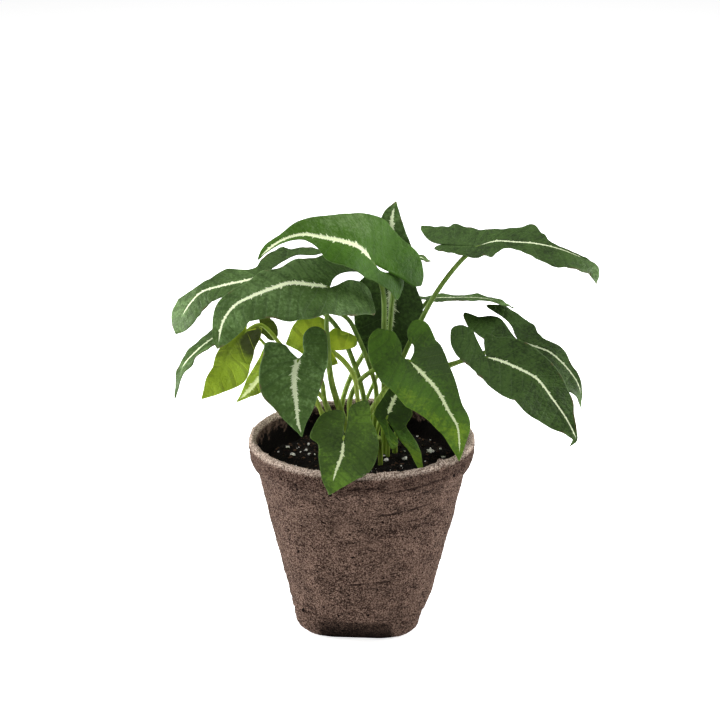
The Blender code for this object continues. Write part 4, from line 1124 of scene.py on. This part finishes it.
grown_leaves = [
    Leaf(
        "leaf_upper_left",
        rib=[
            (-16, -12, 190), (-26, -18, 193), (-36, -22, 195), (-46, -26, 193), (-56, -30, 190),
            (-64, -32, 186), (-70, -34, 178), (-73, -36, 164),
        ],
        foot=(-5, -1),
        bends=[(-15.5, -5, 135), (-17.5, -9, 156), (-18, -11, 174)],
        faces=[(-0.1, -0.5, 0.86), (-0.15, -0.55, 0.82), (-0.3, -0.8, 0.5)],
        left=[
            (-6, 0.5), (-12, 0), (-18, 0), (-24, 2), (-30, 5), (-34, 11), (-34, 18), (-31, 26), (-27, 26),
            (-20, 24), (-10, 22), (-3, 19), (8, 19), (16, 22), (25, 23), (33, 22), (41, 16), (50, 13),
            (66, 11), (74, 6),
        ],
        right=[
            (-4, 6), (-10, 11), (-18, 15), (-26, 18), (-35, 24), (-43, 30), (-35, 30), (-25, 28), (-15, 27),
            (-6, 24), (2, 20), (10, 18), (18, 16), (25, 11), (34, 12), (41, 9), (52, 8), (60, 8), (68, 5),
            (75, 3),
        ],
        fold=(-8, 8),
        curl=(-5, 0),
        back=((30, 0, -5), (0, 0, -12)),
        stalk_radii=(2.4, 1.0),
        feather=(-0.01, 0.22, 0.99, 1.35),
        spots=[(32, 12, 24, 0.85), (70, 0, 14, 0.3), (14, 16, 12, 0.5), (-18, -12, 14, 0.7)],
    ),
    Leaf(
        "leaf_far_left",
        rib=[
            (-53, 22, 186), (-64, 20, 184), (-75, 18, 182), (-85, 16, 179), (-92, 12, 172), (-96, 8, 165),
            (-98, 6, 159),
        ],
        foot=(4, 4),
        bends=[(1, 5, 125), (-4, 8, 142), (-12, 13, 159), (-21, 18, 168), (-38, 22, 179)],
        faces=[(-0.1, -0.35, 0.93), (-0.2, -0.4, 0.9), (-0.6, -0.5, 0.6)],
        left=[
            (-5, 3), (-12, 6), (-19, 11), (-15, 15), (-6, 13), (4, 9), (12, 8), (24, 10), (38, 11),
            (50, 11), (56, 7),
        ],
        right=[
            (-6, 5), (-14, 10), (-22, 13), (-30, 9), (-36, 9), (-33, 14), (-27, 19), (-20, 20), (-15, 23),
            (-10, 20), (-4, 16), (2, 9), (8, 10), (15, 14), (21, 12), (28, 7), (35, 6), (43, 10), (49, 9),
            (56, 5),
        ],
        feather=(0.0, 0.3, 0.86, 1.0),
        spots=[(-20, 8, 14, -0.4), (10, 0, 20, 0.2), (35, 0, 16, 0.2), (52, 0, 12, 0.5)],
        ripple=0.7,
    ),
    Leaf(
        "leaf_left_narrow",
        rib=[
            (-74, 10, 159), (-82, 4, 155), (-87, -2, 152), (-92, -8, 148), (-95, -13, 143), (-97, -20, 132),
        ],
        foot=(6, 10),
        bends=[
            (8, 10, 124), (6, 9, 135), (-2, 11, 156), (-8, 13, 166), (-22, 12, 172), (-43, 14, 171),
            (-62, 14, 164),
        ],
        faces=[(-0.7, -0.35, 0.6)],
        left=[(-4, 3), (-9, 6), (-5, 9), (4, 9), (12, 8), (18, 9), (24, 6), (30, 6), (38, 3)],
        right=[(-4, 3), (-9, 6), (-5, 9), (3, 8), (10, 8), (16, 8), (24, 6), (32, 3), (42, 2)],
        fold=(-5, 5),
        stalk_radii=(1.5, 1),
        feather=(0.0, 0.3, 0.7, 0.9),
        spots=[(15, 0, 30, 0.4)],
        ripple=0.7,
    ),
    Leaf(
        "leaf_front_left",
        rib=[
            (-32, -30, 157), (-34, -36, 152), (-34, -41, 145), (-33, -46, 138), (-32, -49, 129),
            (-30, -50, 122),
        ],
        foot=(-10, -7),
        bends=[(-19, -12, 127), (-21, -20, 142), (-28, -26, 153)],
        faces=[(-0.05, -0.85, 0.5)],
        left=[
            (-5, 2), (-10, 1), (-15, 1), (-20, 4), (-22, 8), (-20, 12), (-13, 14), (-5, 15), (4, 15),
            (12, 15), (21, 12), (29, 8), (36, 4),
        ],
        right=[
            (-3, 5), (-6, 9), (-6, 15), (-4, 19), (4, 18), (11, 18), (18, 17), (24, 13), (30, 9), (36, 4),
        ],
        back=((10, 0, 0), (0, 0, 0)),
        feather=(-0.02, 0.15, 0.98, 1.7),
        whiteness=0.6,
        spots=[(32, 6, 10, 0.1), (8, -8, 14, 0.5), (5, 8, 10, 0.3)],
        vein_gap=6,
    ),
    Leaf(
        "leaf_front_small",
        rib=[(-9, -44, 120), (-10, -52, 113), (-13, -60, 107), (-16, -69, 98)],
        foot=(10, -9),
        bends=[(9, -16, 109), (5, -28, 110), (-2, -39, 116)],
        faces=[(0, -0.85, 0.5)],
        left=[
            (-6, 1), (-12, 1), (-18, 2), (-21, 6), (-22, 10), (-17, 12), (-11, 13), (-5, 16), (4, 18),
            (12, 17), (18, 14), (25, 9), (30, 4),
        ],
        right=[
            (-6, 0.6), (-12, 0.6), (-15, 3), (-14, 8), (-11, 13), (-4, 16), (2, 17), (5, 13), (10, 12),
            (16, 11), (22, 8), (28, 5),
        ],
        stalk_radii=(1.4, 1.1),
        feather=(0.06, 0.4, 0.82, 0.85),
        whiteness=0.8,
        spots=[(28, -3, 9, 0.9), (6, 4, 8, -0.4), (-12, -8, 12, 0.7), (8, 14, 9, 0.5)],
        vein_gap=5,
    ),
    Leaf(
        "leaf_upper_right",
        rib=[
            (60, 10, 206), (70, 9, 209), (80, 7, 209), (90, 4, 209), (102, 1, 207), (113, -1, 203),
            (122, -2, 198), (123, -4, 196), (122, -4, 189),
        ],
        foot=(8, 19),
        bends=[(22, 17, 142), (31, 14, 163), (40, 12, 181), (53, 10, 199)],
        faces=[(0.05, -0.35, 0.93), (0.05, -0.3, 0.95), (0.4, -0.3, 0.87)],
        left=[
            (-6, 0.15), (-12, 0.15), (-18, 0.15), (-24, 0.6), (-29, 5), (-32, 16), (-23, 16), (-16, 17),
            (-10, 19), (-3, 17), (4, 14), (12, 11), (20, 14), (26, 17), (33, 11), (42, 3), (52, 1), (64, 1),
        ],
        right=[
            (-6, 0.15), (-14, 0.15), (-21, 0.4), (-26, 3), (-22, 6), (-13, 9), (-5, 10), (3, 9), (7, 13),
            (12, 11), (18, 7), (24, 9), (31, 11), (37, 15), (44, 18), (52, 15), (60, 11), (70, 7),
        ],
        back=((-26, 3, 0), (-28, 0, 0)),
        feather=(0.0, 0.4, 0.8, 0.6),
        whiteness=0.9,
        spots=[(70, 0, 8, 0.8), (20, 0, 40, -0.3)],
        ripple=1.2,
    ),
    Leaf(
        "leaf_back_right",
        rib=[(37, 41, 169), (49, 38, 170), (63, 34, 171), (74, 31, 170), (82, 28, 167)],
        foot=(3, 25),
        bends=[(24, 33, 144), (32, 39, 162)],
        faces=[(0, 0.15, 0.98)],
        left=[(-4, 2), (-8, 6), (-4, 10), (4, 12), (12, 13), (21, 13), (31, 9), (40, 4)],
        right=[(-4, 2), (-8, 6), (-4, 10), (4, 12), (12, 13), (21, 13), (31, 9), (40, 4)],
        stalk_radii=(1.3, 1),
        feather=(0.0, 0.2, 0.8, 1.0),
        spots=[(45, 0, 12, 0.9)],
        ripple=0.7,
    ),
    Leaf(
        "leaf_lower_right",
        rib=[
            (65, -8, 151), (72, -11, 150), (82, -16, 147), (91, -21, 143), (98, -27, 135), (105, -33, 126),
            (109, -37, 119), (110, -38, 116), (107, -40, 113),
        ],
        foot=(2, -7),
        bends=[(3, -13, 119), (9, -15, 130), (15, -11, 137), (31, -3, 140), (46, 0, 144), (57, -3, 148)],
        faces=[(0.1, -0.65, 0.75), (0.2, -0.65, 0.72), (0.3, -0.8, 0.5)],
        left=[
            (-5, 3), (-8, 7), (-4, 12), (4, 15), (12, 16), (20, 16), (27, 14), (34, 12), (41, 11), (50, 9),
            (56, 5), (64, 2),
        ],
        right=[
            (-6, 0.6), (-14, 1), (-20, 1), (-26, 4), (-33, 10), (-37, 17), (-33, 22), (-26, 22), (-17, 19),
            (-8, 15), (0, 13), (9, 17), (19, 19), (31, 19), (42, 18), (50, 14), (57, 10), (64, 4),
        ],
        back=((-45, 0, 0), (-50, 0, 0)),
        stalk_radii=(1.5, 1.2),
        feather=(0.0, 0.2, 0.98, 0.85),
        whiteness=0.9,
        spots=[(30, 0, 40, -0.45)],
    ),
    Leaf(
        "leaf_far_right",
        rib=[
            (83, 12, 154), (91, 8, 152), (99, 4, 150), (107, -1, 144), (113, -7, 137), (115, -11, 131),
            (115, -14, 124),
        ],
        foot=(18, 10),
        bends=[(34, 11, 133), (48, 12, 140), (68, 14, 147)],
        faces=[(0.1, -0.5, 0.86), (0.2, -0.5, 0.84), (0.6, -0.5, 0.5)],
        left=[
            (-4, 2), (-8, 5), (-14, 6), (-21, 5), (-28, 5), (-20, 12), (-13, 14), (-5, 15), (2, 15), (8, 9),
            (14, 7), (22, 8), (30, 4), (38, 3), (48, 1),
        ],
        right=[
            (-6, 1), (-14, 1), (-20, 2), (-27, 7), (-34, 15), (-44, 23), (-37, 25), (-27, 23), (-17, 20),
            (-6, 17), (4, 16), (16, 17), (28, 18), (38, 15), (44, 10), (49, 4),
        ],
        back=((-20, 4, 0), (-38, 0, 0)),
        stalk_radii=(1.5, 1.2),
        feather=(0.0, 0.4, 0.9, 0.6),
        whiteness=0.75,
        spots=[(20, 0, 40, -0.4), (52, 0, 6, 0.7)],
        ripple=0.7,
    ),
    Leaf(
        "leaf_back_upright",
        rib=[(19, 25, 198), (17, 26, 206), (16, 27, 215), (18, 26, 226)],
        foot=(12, 14),
        bends=[(15, 15, 131), (15, 17, 159), (17, 23, 178), (19, 27, 188)],
        faces=[(-0.1, -0.95, 0.3)],
        left=[(-5, 2), (-9, 5), (-3, 8), (5, 8), (12, 8), (18, 6), (23, 4)],
        right=[(-5, 2), (-9, 5), (-3, 8), (4, 8), (10, 7), (16, 6), (22, 4)],
        stalk_radii=(1.5, 1.2),
        feather=(0.0, 0.5, 0.9, 1.2),
        spots=[(15, 0, 16, 0.6)],
    ),
    Leaf(
        "leaf_back_small",
        rib=[(22, 41, 192), (29, 42, 192), (38, 43, 189)],
        foot=(-4, 24),
        bends=[(18, 42, 150)],
        faces=[(0, -0.1, 0.99)],
        left=[(-4, 2), (-7, 5), (-3, 7), (4, 7), (9, 5), (13, 3)],
        right=[(-4, 2), (-7, 5), (-3, 7), (4, 7), (9, 5), (13, 3)],
        stalk_radii=(1.2, 0.9),
        feather=(0.0, 0.3, 0.8, 0.7),
        spots=[(14, 0, 6, 0.8)],
    ),
    Leaf(
        "leaf_hanging_middle",
        rib=[(16, 29, 178), (16, 26, 167), (15, 23, 154), (12, 19, 133)],
        foot=(-13, 13),
        bends=[(-10, 17, 119), (-5, 24, 131), (0, 28, 139), (8, 32, 152), (14, 33, 168)],
        faces=[(0, -0.8, 0.6)],
        left=[(-4, 3), (-6, 8), (-4, 12), (2, 14), (10, 17), (16, 16), (24, 13), (34, 10), (41, 6)],
        right=[
            (-4, 4), (-7, 9), (-6, 14), (-2, 18), (4, 20), (12, 20), (22, 19), (32, 15), (39, 10), (43, 6),
        ],
        feather=(0.0, 0.2, 0.66, 2.4),
        whiteness=0.55,
        spots=[(20, 0, 30, -0.7)],
    ),
]
for leaf in grown_leaves:
    upper = lower_green if leaf.name == "leaf_front_small" else grown_green
    grow(leaf, upper, grown_under, green_stalk)

# The newest full leaves are a clearer, brighter green than the old ones, because their tissue is still thin.
# The top one is painted clearer, as the light that falls through it, with a pale painted sheen. They are
# built and feathered in the same way.
bright_green = leaf_finish(
    "bright_leaf",
    dark=(0.025, 0.05, 0.009),
    middle=(0.05, 0.112, 0.011),
    light=(0.125, 0.215, 0.015),
    white=(0.76, 0.84, 0.5),
    patchy=0.3,
)
# painted light: the top leaf's clear green stands in for the light that falls through it
sunlit_green = leaf_finish(
    "sunlit_leaf",
    dark=(0.025, 0.066, 0.006),
    middle=(0.044, 0.11, 0.009),
    # greyed, for a painted sheen where the spots lighten it
    light=(0.125, 0.2, 0.07),
    white=(0.76, 0.84, 0.53),
    patchy=0.25,
    gloss=0.06,
)
bright_under = underside_finish("bright_leaf_underside", (0.1, 0.16, 0.05), (0.24, 0.32, 0.13))

bright_leaves = [
    Leaf(
        "leaf_top",
        rib=[
            (7, 0, 199), (-1, -5, 209), (-9, -8, 213), (-20, -11, 216), (-30, -13, 218), (-40, -16, 216),
            (-48, -18, 211), (-53, -19, 206),
        ],
        foot=(12, 8),
        bends=[(12, 8, 133), (12, 8, 160), (11, 5, 184)],
        faces=[(0.15, -0.5, 0.84), (0.1, -0.5, 0.86), (-0.2, -0.4, 0.9)],
        left=[
            (-4, 3), (-8, 4), (-12, 3.5), (-18, 2), (-25, 5), (-27, 12), (-24, 20), (-18, 17), (-10, 14),
            (-2, 11), (5, 13), (15, 16), (26, 16), (33, 14), (38, 7), (46, 4), (58, 2),
        ],
        right=[
            (-9, 0.6), (-18, 0.6), (-26, 1), (-31, 5), (-30, 10), (-26, 16), (-21, 21), (-13, 23), (-6, 25),
            (2, 26), (9, 24), (15, 21), (21, 18), (28, 15), (36, 12), (44, 9), (56, 4), (66, 3),
        ],
        fold=(0, 20),
        curl=(-20, -12),
        back=((28, 28, -30), (2, 42, -35)),
        stalk_radii=(1.8, 1.3),
        feather=(0.05, 0.22, 0.99, 1.6),
        spots=[
            (22, 12, 16, 0.6), (45, 8, 12, 0.4), (15, -14, 18, -0.6), (-16, -12, 12, -0.9),
            (-22, 10, 13, -0.7),
        ],
    ),
    Leaf(
        "leaf_front_right",
        rib=[
            (25, -8, 149), (32, -16, 144), (39, -24, 138), (45, -32, 129), (49, -37, 123), (50, -41, 115),
            (50, -45, 107),
        ],
        foot=(-5, 6),
        bends=[(-6, 3, 124), (-1, 3, 134), (7, 1, 141), (16, -3, 146)],
        faces=[(-0.1, -0.72, 0.68), (-0.1, -0.75, 0.65), (-0.2, -0.9, 0.3)],
        left=[
            (-2, 3), (-6, 4), (-10, 2), (-15, 2), (-18, 6), (-16, 11), (-11, 15), (-4, 17), (3, 18),
            (10, 16), (18, 13), (27, 10), (36, 8), (46, 7), (56, 3),
        ],
        right=[
            (-5, 4), (-10, 3), (-15, 4), (-20, 6), (-24, 11), (-27, 16), (-25, 21), (-20, 23), (-13, 23),
            (-6, 21), (1, 19), (10, 18), (22, 18), (30, 15), (38, 11), (48, 9), (58, 4),
        ],
        back=((-30, 24, 0), (-30, 24, 0)),
        feather=(0.0, 0.35, 0.97, 1.0),
        whiteness=0.72,
        spots=[
            (-8, 4, 14, -0.5), (8, -10, 14, -0.8), (32, -8, 14, -0.8), (36, 8, 13, 0.7), (14, 14, 9, 0.5),
            (52, 0, 8, 0.6),
        ],
    ),
    Leaf(
        "young_leaf_right",
        rib=[(13, -12, 118), (16, -8, 125), (20, -4, 132), (24, 0, 140)],
        foot=(14, 2),
        bends=[(13, -6, 115)],
        faces=[(0.1, -0.85, 0.5)],
        left=[
            (-7, 1), (-14, 1), (-20, 5), (-24, 10), (-18, 9), (-10, 7), (-3, 7), (4, 7), (10, 7), (18, 5),
            (24, 3),
        ],
        right=[
            (-8, 0.6), (-14, 0.6), (-20, 2), (-28, 1), (-37, 1), (-31, 4), (-24, 7), (-17, 10), (-9, 12),
            (0, 11), (7, 12), (14, 9), (21, 5),
        ],
        back=((50, 20, 0), (50, 20, 0)),
        stalk_radii=(1.2, 1),
        feather=(0.1, 0.3, 0.9, 1.1),
        spots=[(8, 4, 14, -0.9), (-26, 4, 12, 0.9)],
    ),
]
for leaf in bright_leaves:
    upper = sunlit_green if leaf.name == "leaf_top" else bright_green
    grow(leaf, upper, bright_under, green_stalk)

# The youngest leaves have just unrolled and are still soft and yellow-green. Their veins show as fine light
# lines, and their stalks are short and thin.
young_green = leaf_finish(
    "young_leaf",
    dark=(0.03, 0.042, 0.006),
    middle=(0.19, 0.28, 0.016),
    light=(0.36, 0.46, 0.03),
    white=(0.6, 0.68, 0.3),
    patchy=0.12,
    vein_light=0.5,
)
young_under = underside_finish("young_leaf_underside", (0.2, 0.27, 0.04), (0.4, 0.48, 0.14))
young_stalk = stalk_finish("young_stalk", (0.24, 0.33, 0.04), (0.19, 0.27, 0.025), (0.36, 0.42, 0.1))

young_leaves = [
    Leaf(
        "young_leaf_left",
        rib=[
            (-60, -4, 164), (-65, -8, 159), (-70, -11, 153), (-72, -13, 145), (-77, -16, 139),
            (-83, -18, 131),
        ],
        foot=(-12, 1),
        bends=[(-19, -3, 124), (-28, -5, 136), (-42, -4, 156), (-53, 0, 166)],
        faces=[(-0.3, -0.85, 0.3)],
        left=[(-4, 2), (-6, 5), (-2, 8), (5, 10), (11, 13), (18, 14), (24, 14), (29, 10), (36, 6)],
        right=[(-4, 3), (-5, 6), (0, 6), (8, 5), (16, 5), (23, 6), (31, 5), (38, 3)],
        fold=(0, 15),
        stalk_radii=(1.4, 1),
        feather=(0, 0.2, 0.9, 0.0),
        spots=[(2, -8, 6.5, -2.6), (14, 2, 8, -0.5), (36, 0, 8, 0.2)],
    ),
    Leaf(
        "young_leaf_lower_left",
        rib=[(-47, -18, 152), (-51, -22, 147), (-56, -26, 141), (-64, -31, 134)],
        foot=(-17, -5),
        bends=[(-24, -10, 129), (-34, -15, 144)],
        faces=[(-0.3, -0.7, 0.6)],
        left=[(-4, 2), (-8, 4), (-7, 8), (0, 9), (7, 8), (16, 6), (22, 3)],
        right=[(-4, 2), (-8, 4), (-6, 7), (0, 7), (6, 6), (13, 6), (19, 4), (24, 2)],
        stalk_radii=(1.3, 0.9),
        feather=(0.3, 0.6, 0.95, 1.4),
        spots=[(20, -6, 8, -0.4)],
    ),
    Leaf(
        "young_leaf_middle",
        rib=[(-16, 3, 151), (-24, 5, 154), (-32, 6, 155), (-40, 7, 153)],
        foot=(1, -2),
        bends=[(-2, -3, 126), (-4, -1, 138), (-10, 2, 146)],
        faces=[(-0.1, -0.75, 0.66)],
        left=[(-3, 2), (-6, 5), (-3, 8), (4, 8), (12, 8), (19, 5)],
        right=[
            (-7, 4), (-11, 8), (-9, 12), (-2, 13), (4, 12), (5.5, 8.5), (7.5, 11), (9, 15), (15, 15),
            (20, 10), (23, 5),
        ],
        stalk_radii=(0.9, 1.5),
        feather=(0, 0.2, 0.9, 0.0),
        spots=[(-5, 5, 5, 1.6), (-5, 11, 3, -0.7), (14, 4, 9, 1.1)],
    ),
]
for leaf in young_leaves:
    grow(leaf, young_green, young_under, young_stalk)

# One more young leaf has hardly opened. It is as small as a fingernail, olive green, and bends over on a thin
# stalk of its own behind the young leaves on the left.
olive_green = leaf_finish(
    "olive_leaf",
    dark=(0.03, 0.045, 0.005),
    middle=(0.065, 0.095, 0.01),
    light=(0.13, 0.19, 0.02),
    white=(0.5, 0.6, 0.3),
    patchy=0.2,
)
opening_leaf = Leaf(
    "opening_leaf",
    rib=[(-53.5, 6, 164.5), (-50, 6.5, 161), (-46, 6, 155.5)],
    foot=(-13, 6),
    bends=[(-22, 4, 118), (-30, 3, 127), (-40.4, 4, 142.5), (-50.4, 5, 153), (-55.5, 6, 160)],
    faces=[(-0.1, -0.9, 0.3)],
    left=[(-2, 2), (0, 5), (4, 6), (8, 5), (11, 2.5)],
    right=[(-2, 1.5), (0, 2.5), (4, 3), (8, 2.5), (11, 1.5)],
    stalk_radii=(1.1, 0.8),
    feather=(0, 0.2, 0.9, 0.0),
    vein_gap=4,
    ripple=0.3,
)
grow(opening_leaf, olive_green, young_under, young_stalk, has_solid=False)

# Studio: a plain pale floor and backdrop, a large soft light above, a weaker one in front and a strong one at
# each side. The camera looks down a little from the front through a long lens. Sizes here are in metres.
FLOOR_REACH = 6.0
FLOOR_LEVEL = -0.0001
floor_corners = [
    (-FLOOR_REACH, -FLOOR_REACH, FLOOR_LEVEL),
    (FLOOR_REACH, -FLOOR_REACH, FLOOR_LEVEL),
    (FLOOR_REACH, FLOOR_REACH, FLOOR_LEVEL),
    (-FLOOR_REACH, FLOOR_REACH, FLOOR_LEVEL),
]
floor_mesh = bpy.data.meshes.new("studio_floor")
floor_mesh.from_pydata(floor_corners, [], [(0, 1, 2, 3)])
pale_floor = Finish("pale_floor", roughness=0.9, specular=0.1)
pale_floor.colour((0.88, 0.88, 0.88), [(pale_floor.grain(400, 1), (0.91, 0.91, 0.91))])
pale_floor.shader.inputs["Emission Color"].default_value = (1, 1, 1, 1)
pale_floor.shader.inputs["Emission Strength"].default_value = 0.75
floor_mesh.materials.append(pale_floor.material)
floor = bpy.data.objects.new("studio_floor", floor_mesh)
bpy.context.scene.collection.objects.link(floor)


def soft_light(name, place, aim, size, power):
    light = bpy.data.lights.new(name, "AREA")
    light.shape = "RECTANGLE"
    light.size, light.size_y = size
    light.energy = power
    holder = bpy.data.objects.new(name, light)
    holder.location = place
    holder.rotation_euler = (Vector(aim) - Vector(place)).to_track_quat("-Z", "Y").to_euler()
    bpy.context.scene.collection.objects.link(holder)


soft_light("top_light", place=(-0.25, 0.15, 1.5), aim=(0, 0, 0.15), size=(1.6, 1.2), power=15)
soft_light("front_light", place=(-0.5, -1.5, 0.9), aim=(0, 0, 0.15), size=(1.4, 1.0), power=7.5)
soft_light("left_light", place=(-1.2, 0.35, 0.45), aim=(0, 0, 0.1), size=(0.8, 1.2), power=39)
soft_light("right_light", place=(1.2, 0.35, 0.45), aim=(0, 0, 0.1), size=(0.8, 1.2), power=32)

world = bpy.data.worlds.new("studio_air")
world.use_nodes = True
bpy.context.scene.world = world
air = world.node_tree
air.nodes["Background"].inputs["Color"].default_value = (1, 1, 1, 1)
air.nodes["Background"].inputs["Strength"].default_value = 0.15
backdrop = air.nodes.new("ShaderNodeBackground")
backdrop.inputs["Color"].default_value = (1, 1, 1, 1)
ray = air.nodes.new("ShaderNodeLightPath")
seen = air.nodes.new("ShaderNodeMixShader")
air.links.new(ray.outputs["Is Camera Ray"], seen.inputs[0])
air.links.new(air.nodes["Background"].outputs[0], seen.inputs[1])
air.links.new(backdrop.outputs[0], seen.inputs[2])
air.links.new(seen.outputs[0], air.nodes["World Output"].inputs["Surface"])

camera = bpy.data.cameras.new("camera")
camera.lens = 100
camera.sensor_width = 36
camera_holder = bpy.data.objects.new("camera", camera)
camera_holder.location = (-0.0008, -1.001, 0.4703)
camera_holder.rotation_euler = (math.radians(72.08), 0, 0)
bpy.context.scene.collection.objects.link(camera_holder)
bpy.context.scene.camera = camera_holder
bpy.context.scene.view_settings.view_transform = "Standard"
